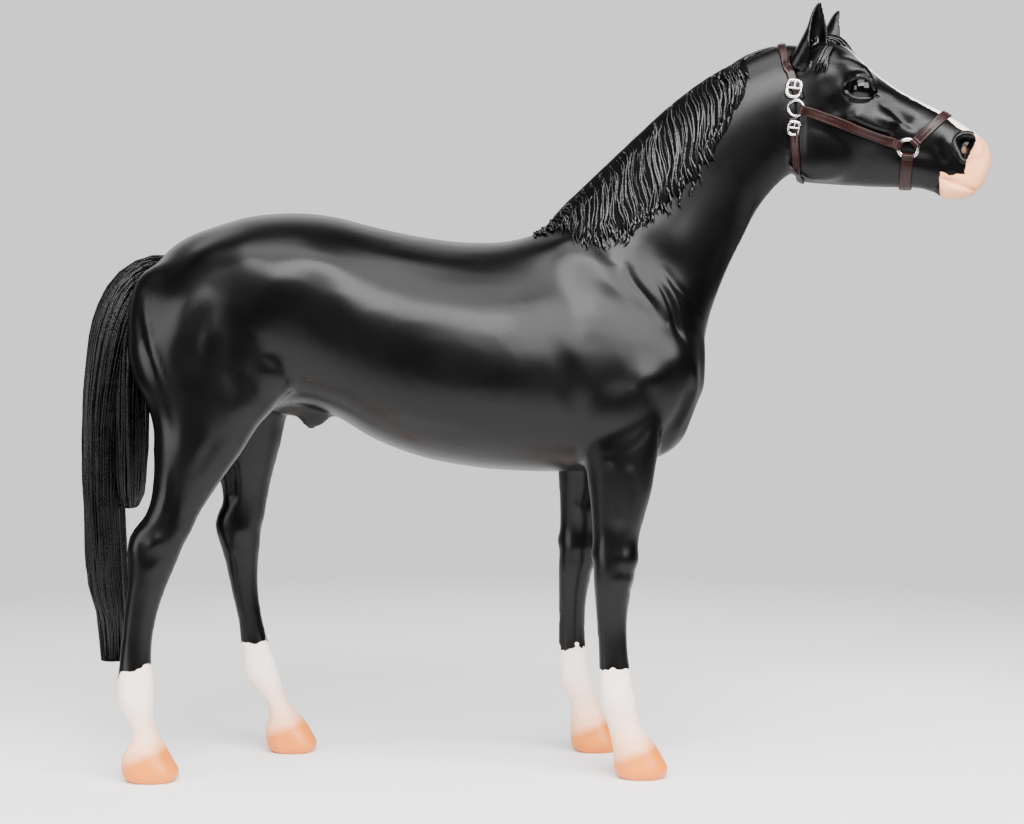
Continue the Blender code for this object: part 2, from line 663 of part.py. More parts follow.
def slab(name, inner, outer, columns, rows):
    """A closed solid between two grids of points."""
    count = columns * rows
    faces = []
    for c in range(columns - 1):
        for r in range(rows - 1):
            a, b = c * rows + r, c * rows + r + 1
            d, e = a + rows, b + rows
            faces.append((a, b, e, d))
            faces.append((count + a, count + d, count + e, count + b))
    border = [c * rows for c in range(columns)]
    border += [(columns - 1) * rows + r for r in range(1, rows)]
    border += [c * rows + rows - 1 for c in range(columns - 2, -1, -1)]
    border += list(range(rows - 2, 0, -1))
    for here, there in zip(border, border[1:] + border[:1]):
        faces.append((here, there, count + there, count + here))
    return mesh_object(name, [p * MM for p in inner + outer], faces)


def mane(tree, clearance):
    """A slab on the right of the neck with broad wavy locks and a ragged lower edge."""
    inner, outer = [], []
    for column, (x, crest_z, hang, thick) in enumerate(spline(MANE, np.linspace(0, 1, MANE_COLUMNS))):
        phase = column / MANE_COLUMNS * MANE_LOCKS * 2 * math.pi
        length = MANE_OVER_CREST + hang * (1 + 0.06 * math.sin(phase))
        for share in np.linspace(0, 1, MANE_ROWS):
            wave = math.sin(phase + 2.0 * math.sin(share * 5.0))
            edge = math.sin(math.pi * (0.15 + 0.72 * share)) ** 0.5
            swell = thick * edge * (1 + MANE_LOCK_DEPTH * wave * min(1.0, 2 * share))
            path = share * length - MANE_OVER_CREST
            lean = 2.5 * share
            inner.append(mane_point(tree, x + lean, crest_z, path, -SUNK))
            outer.append(mane_point(tree, x + lean, crest_z, path, GAP + max(swell, 0.45)))
    sheet = slab("mane", inner, outer, MANE_COLUMNS, MANE_ROWS)
    return boolean(sheet, clearance, "DIFFERENCE", keep_cutter=True)


def forelock(tree, clearance):
    """A short flat lock from the poll down the forehead."""
    columns, rows = 9, 5
    inner, outer = [], []
    for share in np.linspace(0, 1, columns):
        half = 2.5 * math.sin(math.pi * (0.24 + 0.72 * share)) + 0.2
        for across in np.linspace(-1, 1, rows):
            y = half * across + 0.6 * math.sin(share * 4)
            place, normal = from_head(tree, (90.6 + 11.5 * share, y, 198), (0, 0, 1))
            crown = 0.9 * (1 - across * across) * math.sin(math.pi * (0.15 + 0.8 * share)) + 0.5
            inner.append(place - normal * SUNK)
            outer.append(place + normal * (GAP + crown))
    return boolean(slab("forelock", inner, outer, columns, rows), clearance, "DIFFERENCE", keep_cutter=True)


def tail(clearance):
    """A full tail that falls from the dock, with long flutes between its locks."""
    angles = np.linspace(0, 2 * math.pi, TAIL_SIDES, endpoint=False)
    sections = []
    for number, row in enumerate(spline(TAIL, np.linspace(0, 1, TAIL_RINGS))):
        x, z, half_depth, half_width, tilt = row
        share = number / (TAIL_RINGS - 1)
        lock_depth = TAIL_LOCK_DEPTH * min(1, 3 * share)
        flute = 1 + lock_depth * np.sin(TAIL_LOCKS * angles + 1.4 * math.sin(5 * share))
        lean = math.radians(tilt)
        along = half_depth * flute * np.cos(angles)
        across = half_width * flute * np.sin(angles)
        sections.append(np.stack([x + along * math.cos(lean), across, z + along * math.sin(lean)], 1))
    return boolean(closed_tube("tail", sections), clearance, "DIFFERENCE", keep_cutter=True)


def strap_sections(pairs):
    """Four-cornered sections of a strap that lies on the skin, from the skin points of its two edges."""
    sections = []
    for (low, low_normal), (high, high_normal) in pairs:
        normal = (low_normal + high_normal).normalized()
        top = STRAP_LIFT + STRAP_THICK
        corners = ((low, STRAP_LIFT), (high, STRAP_LIFT), (high, top), (low, top))
        sections.append([point + normal * lift for point, lift in corners])
    return sections


def band(name, tree):
    (x, z), pitch, reach, width = BANDS[name]
    pitch = math.radians(pitch)
    along = Vector((math.cos(pitch), 0, math.sin(pitch)))
    edge = Vector((-math.sin(pitch), 0, math.cos(pitch))) * width / 2
    centre = Vector((x, 0, z))
    pairs = []
    for angle in np.radians(np.linspace(-reach, reach, 21)):
        ray = along * math.cos(angle) + Vector((0, math.sin(angle), 0))
        pairs.append((from_head(tree, centre - edge, ray), from_head(tree, centre + edge, ray)))
    return closed_tube(name, strap_sections(pairs))


def cheek_strap(name, tree, side):
    """From the ring below the ear to the ring of the noseband."""
    (x0, z0), (x1, z1) = CHEEK_LINE
    run = Vector((x1 - x0, 0, z1 - z0))
    edge = Vector((-run.z, 0, run.x)).normalized() * STRAP_WIDTH / 2
    pairs = []
    for share in np.linspace(0, 1, 9):
        centre = Vector((x0, 0, z0)) + run * share
        ray = (0, side, 0)
        pairs.append((from_head(tree, centre - edge, ray), from_head(tree, centre + edge, ray)))
    return closed_tube(name, strap_sections(pairs))


def loop(name, kind, tree, side):
    """A metal ring or buckle that lies flat over the skin. Eight corners make a buckle of a ring."""
    x, z, half_length, half_height, wire = LOOPS[kind]
    place, normal = from_head(tree, (x, 0, z), (0, side, 0))
    around = np.linspace(0, 2 * math.pi, 9)
    under = [(x + half_length * math.cos(a), 0, z + half_height * math.sin(a)) for a in around]
    highest = max((from_head(tree, origin, (0, side, 0))[0] - place).dot(normal) for origin in under)
    corners = 14 if "ring" in kind else 8
    bpy.ops.mesh.primitive_torus_add(
        major_segments=corners, minor_segments=4, major_radius=half_length * MM, minor_radius=wire * MM
    )
    made = bpy.context.object
    made.name = name
    half_turn = Matrix.Rotation(math.pi / corners, 4, "Z")
    stretch = Matrix.Diagonal((1, half_height / half_length, 1, 1))
    turned = normal.to_track_quat("Z", "Y").to_matrix().to_4x4()
    lift = max(highest, 0) + wire + LOOP_CLEARANCE
    made.data.transform(Matrix.Translation((place + normal * lift) * MM) @ turned @ stretch @ half_turn)
    return made


# Finish of each sub-part: base colour, roughness, metallic value.
FINISHES = {
    "black_body": ((0.016, 0.015, 0.016), 0.32, 0.0),
    "black_hair": ((0.020, 0.019, 0.020), 0.26, 0.0),
    "hoof": ((0.86, 0.55, 0.38), 0.45, 0.0),
    "eye": ((0.010, 0.007, 0.006), 0.08, 0.0),
    "strap": ((0.066, 0.022, 0.017), 0.38, 0.0),
    "metal": ((0.72, 0.72, 0.72), 0.28, 1.0),
}


def finish_of(name):
    if name.startswith("hoof"):
        return "hoof"
    if name.startswith("eye"):
        return "eye"
    if name in ("mane", "forelock", "tail"):
        return "black_hair"
    if "ring" in name or "buckle" in name:
        return "metal"
    return "strap" if name.startswith("halter") else "black_body"


def material(name, finish):
    colour, roughness, metallic = FINISHES[finish]
    made = bpy.data.materials.new(name)
    made.use_nodes = True
    shader = made.node_tree.nodes["Principled BSDF"]
    shader.inputs["Base Color"].default_value = (*colour, 1)
    shader.inputs["Roughness"].default_value = roughness
    shader.inputs["Metallic"].default_value = metallic
    return made


def deliver(nodes):
    """Stands every node in its place round the middle of the model, with its own origin and material."""
    horse = bpy.data.collections.new("model_horse")
    bpy.context.scene.collection.children.link(horse)
    lows = [np.min([v.co[:] for v in made.data.vertices], axis=0) for made in nodes.values()]
    highs = [np.max([v.co[:] for v in made.data.vertices], axis=0) for made in nodes.values()]
    middle = (np.min(lows, axis=0) + np.max(highs, axis=0)) / 2
    middle[2] = 0.0
    for (name, made), low, high in zip(nodes.items(), lows, highs):
        centre = Vector((low + high) / 2)
        made.data.transform(Matrix.Translation(-centre))
        made.location = centre - Vector(middle)
        made.name = name
        made.data.materials.clear()
        made.data.materials.append(material(name, finish_of(name)))
        for collection in list(made.users_collection):
            collection.objects.unlink(made)
        horse.objects.link(made)


def main():
    for old in list(bpy.data.objects):
        bpy.data.objects.remove(old)
    whole = flesh()
    clearance = swollen(copied(whole, "clearance"), GAP)
    tree = surface_of(whole)
    nodes = part_flesh(whole)
    for name in EARS:
        nodes[name] = ear(name, clearance)
    for label, side in (("right", RIGHT), ("left", LEFT)):
        nodes["eye_" + label] = eye("eye_" + label, side)
        nodes["halter_cheek_" + label] = cheek_strap("halter_cheek_" + label, tree, side)
        for kind in LOOPS:
            name = f"{kind}_{label}"
            nodes[name] = loop(name, kind, tree, side)
    nodes["mane"] = mane(tree, clearance)
    nodes["forelock"] = forelock(tree, clearance)
    nodes["tail"] = tail(clearance)
    for name in BANDS:
        nodes[name] = band(name, tree)
    for helper in (whole, clearance):
        bpy.data.objects.remove(helper)
    deliver(nodes)


main()
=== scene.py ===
# Looks of the model Arabian: moulded skin, painted marks, hair, hooves, eyes and halter round the frame.
import math
import random

import bmesh
import bpy
import numpy as np
from mathutils import Matrix, Vector
from mathutils.bvhtree import BVHTree


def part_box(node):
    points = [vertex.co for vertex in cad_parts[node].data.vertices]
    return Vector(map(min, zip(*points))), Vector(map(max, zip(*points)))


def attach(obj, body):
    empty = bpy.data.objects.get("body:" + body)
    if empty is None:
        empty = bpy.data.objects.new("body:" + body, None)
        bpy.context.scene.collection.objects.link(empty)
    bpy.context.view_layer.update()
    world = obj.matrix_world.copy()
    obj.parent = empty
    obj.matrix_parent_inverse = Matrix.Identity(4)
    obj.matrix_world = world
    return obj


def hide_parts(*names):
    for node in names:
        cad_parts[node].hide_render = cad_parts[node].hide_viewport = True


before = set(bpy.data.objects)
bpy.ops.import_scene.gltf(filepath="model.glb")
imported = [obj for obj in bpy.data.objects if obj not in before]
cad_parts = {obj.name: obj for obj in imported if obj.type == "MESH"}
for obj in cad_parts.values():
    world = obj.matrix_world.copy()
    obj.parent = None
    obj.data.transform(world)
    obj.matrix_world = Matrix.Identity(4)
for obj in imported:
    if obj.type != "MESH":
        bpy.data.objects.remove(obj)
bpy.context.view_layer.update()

mm = 0.001
right, left = -1, 1
bothSides = {"right": right, "left": left}
rng = random.Random(7)


# small helpers

def selectOnly(*pieces):
    if bpy.context.object and bpy.context.object.mode != "OBJECT":
        bpy.ops.object.mode_set(mode="OBJECT")
    bpy.ops.object.select_all(action="DESELECT")
    for piece in pieces:
        piece.select_set(True)
        bpy.context.view_layer.objects.active = pieces[0]


def newPiece(name, add, **settings):
    selectOnly()
    add(**settings)
    piece = bpy.context.object
    piece.name = name
    return piece


# one step of edit mode on the whole of a piece
def editWhole(piece, step, **settings):
    selectOnly(piece)
    bpy.ops.object.mode_set(mode="EDIT")
    bpy.ops.mesh.select_all(action="SELECT")
    step(**settings)
    bpy.ops.object.mode_set(mode="OBJECT")
    return piece


def flipOutwards(piece):
    return editWhole(piece, bpy.ops.mesh.normals_make_consistent, inside=False)


def applyModifier(piece, kind, **settings):
    selectOnly(piece)
    modifier = piece.modifiers.new(kind.lower(), kind)
    for key, value in settings.items():
        setattr(modifier, key, value)
    bpy.ops.object.modifier_apply(modifier=modifier.name)
    return piece


def joinPieces(name, pieces):
    selectOnly(*pieces)
    if len(pieces) > 1:
        bpy.ops.object.join()
    whole = bpy.context.view_layer.objects.active
    whole.name = whole.data.name = name
    return whole


def smoothShade(piece):
    selectOnly(piece)
    bpy.ops.object.shade_smooth()
    return piece


# a mesh's points are read and written in millimetres
def getPoints(piece):
    points = np.empty(len(piece.data.vertices) * 3)
    piece.data.vertices.foreach_get("co", points)
    return points.reshape(-1, 3) / mm


def setPoints(piece, points):
    piece.data.vertices.foreach_set("co", (np.asarray(points, float) * mm).ravel())
    piece.data.update()


def getNormals(piece):
    normals = np.empty(len(piece.data.vertices) * 3, np.float32)
    piece.data.vertex_normals.foreach_get("vector", normals)
    return normals.reshape(-1, 3).astype(float)


# a value for each point, for the materials
def setMark(piece, name, values):
    mark = piece.data.attributes.new(name, "FLOAT", "POINT")
    mark.data.foreach_set("value", np.asarray(values, np.float32))


# a smooth run through the rows of a table, share goes from 0 to 1
def along(table, share):
    rows = np.array(table, float)
    steps = np.linalg.norm(np.diff(rows[:, :4], axis=0), axis=1)
    knots = np.concatenate([[0.0], np.cumsum(steps)])
    slopes = np.gradient(rows, knots, axis=0)
    at = np.clip(np.asarray(share, float), 0, 1) * knots[-1]
    k = np.clip(np.searchsorted(knots, at, side="right") - 1, 0, len(rows) - 2)
    span = (knots[k + 1] - knots[k])[:, None]
    t = (at - knots[k])[:, None] / span
    return (
        rows[k] * (2 * t**3 - 3 * t**2 + 1)
        + slopes[k] * span * (t**3 - 2 * t**2 + t)
        + rows[k + 1] * (-2 * t**3 + 3 * t**2)
        + slopes[k + 1] * span * (t**3 - t**2)
    )


# a disc extruded ring by ring, then each ring laid on its own outline
def ringTube(name, rings):
    rings = np.asarray(rings, float)
    tube = newPiece(
        name, bpy.ops.mesh.primitive_circle_add, vertices=rings.shape[1], radius=mm, fill_type="NGON")
    bpy.ops.object.mode_set(mode="EDIT")
    bpy.ops.mesh.select_mode(type="VERT")    # keeps the order of the points from ring to ring
    for _ in range(len(rings) - 1):
        bpy.ops.mesh.extrude_region_move(TRANSFORM_OT_translate={"value": (0, 0, mm)})
    bpy.ops.object.mode_set(mode="OBJECT")
    setPoints(tube, rings.reshape(-1, 3))
    return flipOutwards(tube)


def roundAngles(count):
    return np.linspace(0, 2 * math.pi, count, endpoint=False)


# an ellipse at roundness 2, squarer above it
def unitSection(angles, roundness):
    return [np.sign(wave) * np.abs(wave) ** (2.0 / roundness) for wave in (np.cos(angles), np.sin(angles))]


def smoothStep(value, low, high):
    t = np.clip((value - low) / (high - low), 0, 1)
    return t * t * (3 - 2 * t)


def bell(value, width):
    return np.exp(-((value / width) ** 2))


def unit(vectors):
    if vectors.ndim == 1:
        return vectors / np.linalg.norm(vectors)
    return vectors / np.linalg.norm(vectors, axis=1)[:, None]


# the moulded body

body = {
    "coarseVoxel": 1.33,
    "fineVoxel": 0.53,
    "seam": ((80.6, 198.0), 86.0, 2.2),    # where the fine head joins the neck, slope, blended width
    # middle and radius of the places with fine grooves
    "fineSpots": [(44.0, 14.0, 141.0, 20.0), (46.0, 10.0, 118.0, 17.0), (36.0, 15.0, 100.0, 13.0),
                  (66.0, 8.0, 160.0, 13.0)],
    # x, z and radius of the places where one mass runs into another, on the head and on the trunk
    "headJoins": [(97.5, 209.0, 5.0), (102.0, 210.5, 4.0), (107.0, 206.0, 3.0), (101.5, 179.5, 5.0),
                  (105.0, 186.0, 4.0), (95.0, 175.5, 4.5), (112.0, 197.0, 3.0)],
    "trunkJoins": [(11.0, 155.0, 8.0), (18.0, 147.0, 6.0), (-98.0, 147.0, 8.0), (-92.0, 139.0, 7.0),
                   (-104.0, 141.0, 8.0), (-84.0, 157.0, 7.0), (-104.0, 149.5, 6.0), (-72.0, 159.0, 7.0),
                   (-80.0, 142.0, 7.0), (40.0, 150.0, 5.0), (52.0, 107.0, 5.0)],
    "joinFactor": (0.55,),
    # how often each part is smoothed
    "rounds": {"coarse": 17, "trunkJoins": 60, "fine": 16, "headJoins": 45, "seam": 24, "sculpted": 2},
    # x where the sculpted head and its painted face begin, height that the sculpted legs stay below
    "headFrom": 86,
    "faceFrom": 92,
    "legsBelow": 98,
    "headPivotX": 84.0,
    "headTurn": -13.0,
    "headShiftY": -2.5,
    "carveStrength": 0.8,
    "pressStrength": 0.7,
    # how far the skin faces a mark's side where the mark begins and where it is full
    "facing": (0.02, 0.35),
    "legFacing": (0.05, 0.5),
}

# top x, top z, bottom x, bottom z, half width, height of the widest line, roundness above and below, offset
trunkTable = [
    (-109.6, 147, -109.6, 124, 8.0, 0.50, 2.0, 2.0, 0),
    (-105.8, 153.2, -106.5, 112, 16.5, 0.52, 2.0, 2.0, 0),
    (-99, 158.6, -100, 104, 21.5, 0.55, 2.0, 2.1, 0),
    (-88, 163.2, -88, 102.5, 25.5, 0.57, 2.0, 2.1, 0),
    (-76, 166.2, -76, 106.5, 27.5, 0.60, 2.1, 2.1, 0),     # croup
    (-64, 166.8, -64, 109.3, 28.5, 0.58, 2.1, 2.2, 0),
    (-53, 165.6, -53, 106, 28.5, 0.52, 2.1, 2.2, 0),       # loin
    (-42, 162.8, -42, 99.5, 30.0, 0.48, 2.1, 2.2, 0),
    (-28, 159.8, -28, 94.0, 32.0, 0.46, 2.1, 2.2, 0),
    (-13, 158.0, -13, 90.9, 32.6, 0.46, 2.0, 2.2, 0),      # barrel
    (0, 158.6, 0, 89.6, 31.0, 0.46, 1.9, 2.2, 0),
    (12, 162.5, 12, 89.2, 28.0, 0.44, 1.75, 2.2, 0),       # withers
    (24, 164.0, 24, 89.6, 25.5, 0.42, 1.8, 2.2, 0),
    (35, 158.0, 35, 91.2, 23.5, 0.42, 1.9, 2.2, 0),
    (45, 149.0, 45, 96.5, 20.0, 0.44, 2.0, 2.1, 0),
    (53, 140.0, 53, 104.0, 14.5, 0.48, 2.0, 2.0, 0),
    (57.6, 133.0, 57.6, 114.0, 7.5, 0.50, 2.0, 2.0, 0),    # breast
]
neckTable = [
    (4, 155, 48, 108, 20.0, 0.46, 1.9, 2.1, 0),
    (12, 165.2, 56.5, 124, 19.0, 0.45, 1.8, 2.1, 0),
    (23, 175.6, 59.3, 136, 16.2, 0.45, 1.8, 2.0, 0),
    (35, 187.0, 63.4, 147.5, 13.2, 0.45, 1.8, 2.0, -0.4),
    (47.5, 198.4, 67.6, 156.8, 11.4, 0.46, 1.9, 2.0, -0.9),
    (59, 206.8, 71.6, 165.0, 10.4, 0.48, 2.0, 2.0, -1.5),
    (70.5, 213.2, 76.4, 172.2, 9.9, 0.50, 2.0, 2.1, -2.1),
    (80, 216.4, 82.5, 178.0, 9.4, 0.50, 2.0, 2.1, -2.5),
    (88, 216.0, 89, 180.0, 8.2, 0.50, 2.0, 2.1, -2.5),
]
headTable = [
    (82, 214.3, 82.0, 180.5, 7.6, 0.60, 2.1, 2.2, 0),
    (87.2, 216.4, 85.6, 176.6, 9.4, 0.62, 2.1, 2.3, 0),     # poll to jaw angle
    (94.8, 217.2, 90.2, 175.4, 10.6, 0.66, 2.2, 2.3, 0),
    (101.2, 213.7, 96.0, 174.8, 11.0, 0.70, 2.15, 2.2, 0),   # forehead
    (107.4, 208.1, 102.2, 174.5, 9.9, 0.71, 2.15, 2.1, 0),
    (113.9, 203.2, 108.8, 174.2, 8.6, 0.68, 2.15, 2.1, 0),
    (120.4, 199.5, 115.4, 174.0, 7.3, 0.64, 2.15, 2.1, 0),
    (126.4, 196.5, 121.2, 173.7, 6.4, 0.60, 2.2, 2.2, 0),
    (131.8, 193.2, 125.8, 172.3, 6.0, 0.57, 2.3, 2.3, 0),
    (136.4, 190.1, 129.6, 170.7, 5.9, 0.55, 2.5, 2.4, 0),   # nostrils and chin
    (139.6, 187.6, 133.8, 170.7, 5.4, 0.52, 2.4, 2.4, 0),
    (141.3, 184.2, 137.6, 172.5, 4.2, 0.50, 2.2, 2.2, 0),
    (141.6, 181.0, 139.8, 175.8, 2.2, 0.50, 2.0, 2.0, 0),
]
# z, x of the middle, half depth, distance from the midline, half width, roundness
foreLegTable = [
    (128, 33.0, 13.0, 12.5, 8.0, 2.0),
    (112, 31.3, 14.0, 14.0, 8.6, 2.0),
    (100, 31.4, 12.3, 15.3, 8.4, 2.1),
    (91.5, 32.0, 10.3, 15.9, 7.9, 2.1),
    (84.5, 31.9, 9.2, 16.3, 7.1, 2.1),
    (77.5, 31.3, 7.9, 16.6, 6.2, 2.1),
    (70.5, 30.6, 6.8, 16.8, 5.4, 2.2),
    (64.5, 30.5, 6.5, 17.0, 5.8, 2.5),     # knee
    (58.5, 30.0, 5.9, 17.0, 5.6, 2.5),
    (52.5, 29.6, 5.1, 17.1, 4.7, 2.3),
    (46, 29.5, 4.5, 17.2, 3.8, 2.2),
    (37, 29.9, 4.4, 17.4, 3.6, 2.2),
    (29, 30.5, 4.8, 17.5, 4.2, 2.2),
    (23, 31.3, 5.2, 17.6, 4.9, 2.2),       # fetlock
    (18.5, 32.2, 5.0, 17.7, 4.5, 2.1),
    (15, 33.4, 5.1, 17.8, 4.4, 2.1),
    (11.8, 34.9, 5.7, 17.9, 5.3, 2.1),
    (8.8, 36.3, 6.5, 18.0, 6.4, 2.2),      # coronet
    (5.8, 37.3, 7.3, 18.0, 7.0, 2.3),
    (2.8, 38.1, 7.9, 18.0, 7.4, 2.3),
    (0.8, 38.4, 7.4, 18.0, 7.0, 2.3),
    (-2, 38.1, 5.8, 18.0, 5.6, 2.3),
]
hindLegTable = [
    (142, -86.0, 19.0, 13.0, 12.0, 2.0),
    (130, -88.6, 24.4, 14.5, 13.0, 2.0),
    (118, -88.6, 22.6, 16.0, 12.0, 2.1),
    (110, -88.3, 18.9, 17.0, 10.8, 2.1),
    (104, -89.9, 15.4, 17.8, 9.6, 2.1),
    (97, -92.0, 13.1, 18.6, 8.4, 2.1),
    (89.5, -94.7, 10.4, 19.3, 7.1, 2.1),
    (83, -97.3, 8.5, 19.9, 5.9, 2.1),
    (77.5, -100.0, 7.8, 20.3, 5.4, 2.2),
    (73.5, -102.5, 8.6, 20.6, 5.5, 2.4),
    (69.5, -104.4, 8.2, 20.9, 5.6, 2.4),   # hock
    (65, -105.3, 7.3, 21.1, 5.3, 2.3),
    (59.5, -106.5, 6.1, 21.3, 4.8, 2.2),
    (51, -108.5, 5.0, 21.6, 4.1, 2.2),
    (42, -109.9, 4.5, 21.9, 3.8, 2.2),
    (34, -110.5, 4.8, 22.2, 4.0, 2.2),
    (28, -110.5, 5.4, 22.3, 4.7, 2.2),
    (23, -110.3, 5.2, 22.5, 5.0, 2.2),     # fetlock
    (18.6, -109.2, 4.0, 22.6, 4.6, 2.1),
    (15.6, -108.2, 3.5, 22.7, 4.3, 2.1),
    (13.2, -107.6, 3.9, 22.8, 4.6, 2.1),
    (10.8, -107.4, 5.2, 22.9, 5.6, 2.2),
    (8.2, -107.5, 6.7, 23.0, 6.5, 2.2),    # coronet
    (5.4, -107.0, 7.7, 23.0, 7.2, 2.3),
    (2.6, -106.2, 8.2, 23.0, 7.5, 2.3),
    (0.8, -105.9, 7.7, 23.0, 7.2, 2.3),
    (-2, -105.9, 6.0, 23.0, 5.8, 2.3),
]
# z, step forwards, step outwards, slimness
stances = {
    "square": [(0, 0, 0, 1), (200, 0, 0, 1)],
    "foreLeft": [
        (0, -12.2, 2.5, 0.94), (8.2, -12.1, 2.5, 0.94), (14.4, -10.6, 2.4, 0.9), (22, -11.5, 2.2, 0.93),
        (35, -11.4, 2.0, 0.93), (60, -9.9, 1.5, 0.93), (90, -8.5, 0.8, 0.95),
        (112, -4, 0, 1),
    ],
    "hindLeft": [
        (0, 37.6, -3.5, 0.93), (7.5, 37.4, -3.5, 0.95), (22.5, 33.2, -3.2, 1.0), (41.5, 28.6, -2.8, 0.83),
        (59.5, 22.6, -2.2, 0.84), (78, 17.0, -1.6, 0.87), (110, 3.0, 0, 0.96), (130, 0, 0, 1),
    ],
}
legs = {
    "foreRight": (foreLegTable, right, "square"),
    "foreLeft": (foreLegTable, left, "foreLeft"),
    "hindRight": (hindLegTable, right, "square"),
    "hindLeft": (hindLegTable, left, "hindLeft"),
}
# x, y, z, half length, half width, half height, pitch
bodyMasses = [
    (29, 12.5, 139, 27, 8.2, 12, -48),     # shoulder blade
    (28, 16.0, 111.5, 15.5, 9.2, 15, 0),   # triceps
    (44, 10.0, 119, 11, 8.2, 13, -30),     # point of the shoulder
    (45.4, 7.0, 104.8, 7.8, 7.0, 13, -38),   # breast
    (-74, 13.0, 148, 25, 13.5, 14, 4),     # rump
    (-86, 16.0, 128, 22, 12.2, 26, 12),    # thigh
    (-104.0, 12.0, 130.5, 9.6, 10.2, 22.0, 3),
    (-72, 17.5, 121, 10, 8.0, 10, 0),      # stifle
    (-67, 0, 110.4, 9, 5, 4.4, 0),         # sheath
    (-62.2, 0, 105.9, 4.8, 2.4, 1.9, -56),
    (-58.2, 0, 104.8, 4.8, 2.3, 1.8, 29),
    (-60.0, 0, 106.4, 3.6, 2.5, 2.8, 0),
]
headMasses = [
    (93.0, 5.6, 187.5, 11.5, 4.6, 12.0, 0),   # cheek
    (102.6, 7.9, 207.0, 7.0, 3.4, 4.0, -38),  # brow
    (97.6, 6.4, 204.5, 9.0, 4.0, 6.0, -20),
    (108.0, 7.4, 195.4, 9.0, 2.0, 3.2, -20),  # cheek bone
    (134.8, 4.0, 185.2, 5.2, 2.6, 4.6, -50),  # nostril wing
    (131.4, 1.5, 173.8, 6.0, 4.3, 3.3, 4),    # lower lip
]


def profileLoft(name, table, rings=56, columns=44):
    angles = roundAngles(columns)
    sections = []
    for row in along(table, np.linspace(0, 1, rings)):
        top, bottom = row[0:2], row[2:4]
        halfWidth, wideAt, roundTop, roundBottom, offset = row[4:]
        upper = np.sin(angles) >= 0
        acrossTop, upTop = unitSection(angles, roundTop)
        acrossLow, upLow = unitSection(angles, roundBottom)
        across = np.where(upper, acrossTop, acrossLow)
        up = np.where(upper, upTop * (1 - wideAt), upLow * wideAt)
        spine = (bottom + (top - bottom) * wideAt)[None, :] + up[:, None] * (top - bottom)[None, :]
        sections.append(np.stack([spine[:, 0], across * halfWidth + offset, spine[:, 1]], 1))
    return ringTube(name, sections)


def stanceAt(leg, z):
    knots = np.array(stances[legs[leg][2]], float).T
    return [np.interp(z, knots[0], column) for column in knots[1:]]


# x and y of a leg's middle line, with its half depth and half width, at a height
def legAt(leg, z):
    table, side, _ = legs[leg]
    rows = np.array(table)[::-1]
    x, halfDepth, y, halfWidth = (np.interp(z, rows[:, 0], rows[:, k]) for k in (1, 2, 3, 4))
    forwards, outwards, slim = stanceAt(leg, z)
    return x + forwards, side * (y + outwards), halfDepth * slim, halfWidth * (1 + slim) / 2


# x and y round a leg, for a row of its table
def legOutline(leg, angles, z, x, halfDepth, y, halfWidth, roundness):
    forwards, outwards, slim = stanceAt(leg, z)
    lengthways, across = unitSection(angles, roundness)
    away = y + outwards + across * halfWidth * (1 + slim) / 2
    return x + forwards + lengthways * halfDepth * slim, legs[leg][1] * away


def legLoft(name, rings=80, columns=30):
    sections = []
    for row in along(legs[name][0], np.linspace(0, 1, rings)):
        x, y = legOutline(name, roundAngles(columns), *row)
        sections.append(np.stack([x, y, np.full(columns, row[0])], 1))
    return ringTube(name, sections)


def roundMass(x, y, z, halfLength, halfWidth, halfHeight, pitch):
    mass = newPiece(
        "mass", bpy.ops.mesh.primitive_uv_sphere_add, segments=36, ring_count=22, radius=mm,
        location=(x * mm, y * mm, z * mm), rotation=(0, -math.radians(pitch), 0),
        scale=(halfLength, halfWidth, halfHeight))
    bpy.ops.object.transform_apply(location=True, rotation=True, scale=True)
    return mass


def roundMasses(table):
    made = []
    for x, y, *rest in table:
        made += [roundMass(x, side * y, *rest) for side in ((right, left) if y else (left,))]
    return made


# the head is drawn looking straight ahead, then turned
def headTurned():
    pivot = Matrix.Translation((body["headPivotX"] * mm, 0, 0))
    shift = Matrix.Translation((0, body["headShiftY"] * mm, 0))
    return shift @ pivot @ Matrix.Rotation(math.radians(body["headTurn"]), 4, "Z") @ pivot.inverted()


headPlace = headTurned()
headAxes = headPlace.to_3x3()


def moved(points, matrix):
    turn = np.array(matrix)
    return np.asarray(points, float) @ turn[:3, :3].T + turn[:3, 3] / mm


def fromHead(points):
    return moved(points, headPlace)


def toHead(points):
    return moved(points, headPlace.inverted())


# points and normals in the head's own directions
def headView(points, normals):
    return toHead(points), normals @ np.array(headPlace.inverted())[:3, :3].T


def onHead(pieces):
    for piece in pieces:
        setPoints(piece, fromHead(getPoints(piece)))
    return pieces


# smoothing that keeps the volume, each step inwards is followed by one outwards
def relax(piece, rounds, weight, factors=(0.6, -0.62)):
    points = getPoints(piece)
    count = len(points)
    ends = np.empty(len(piece.data.edges) * 2, np.int32)
    piece.data.edges.foreach_get("vertices", ends)
    first, last = ends.reshape(-1, 2).T
    degree = np.bincount(first, minlength=count) + np.bincount(last, minlength=count)
    degree = np.maximum(degree, 1)[:, None]
    share = weight(points)[:, None]
    for _ in range(rounds):
        for factor in factors:
            total = np.stack(
                [np.bincount(first, points[last, k], count) + np.bincount(last, points[first, k], count)
                 for k in range(3)], 1)
            points = points + factor * share * (total / degree - points)
    setPoints(piece, points)
    return piece


# how near the points are to the nearest of a few (x, z, radius) places, seen from the side
def nearPlaces(points, places, power):
    x, z = points[:, 0], points[:, 2]
    return np.max([np.exp(-(np.hypot(x - cx, z - cz) / radius) ** power) for cx, cz, radius in places], 0)


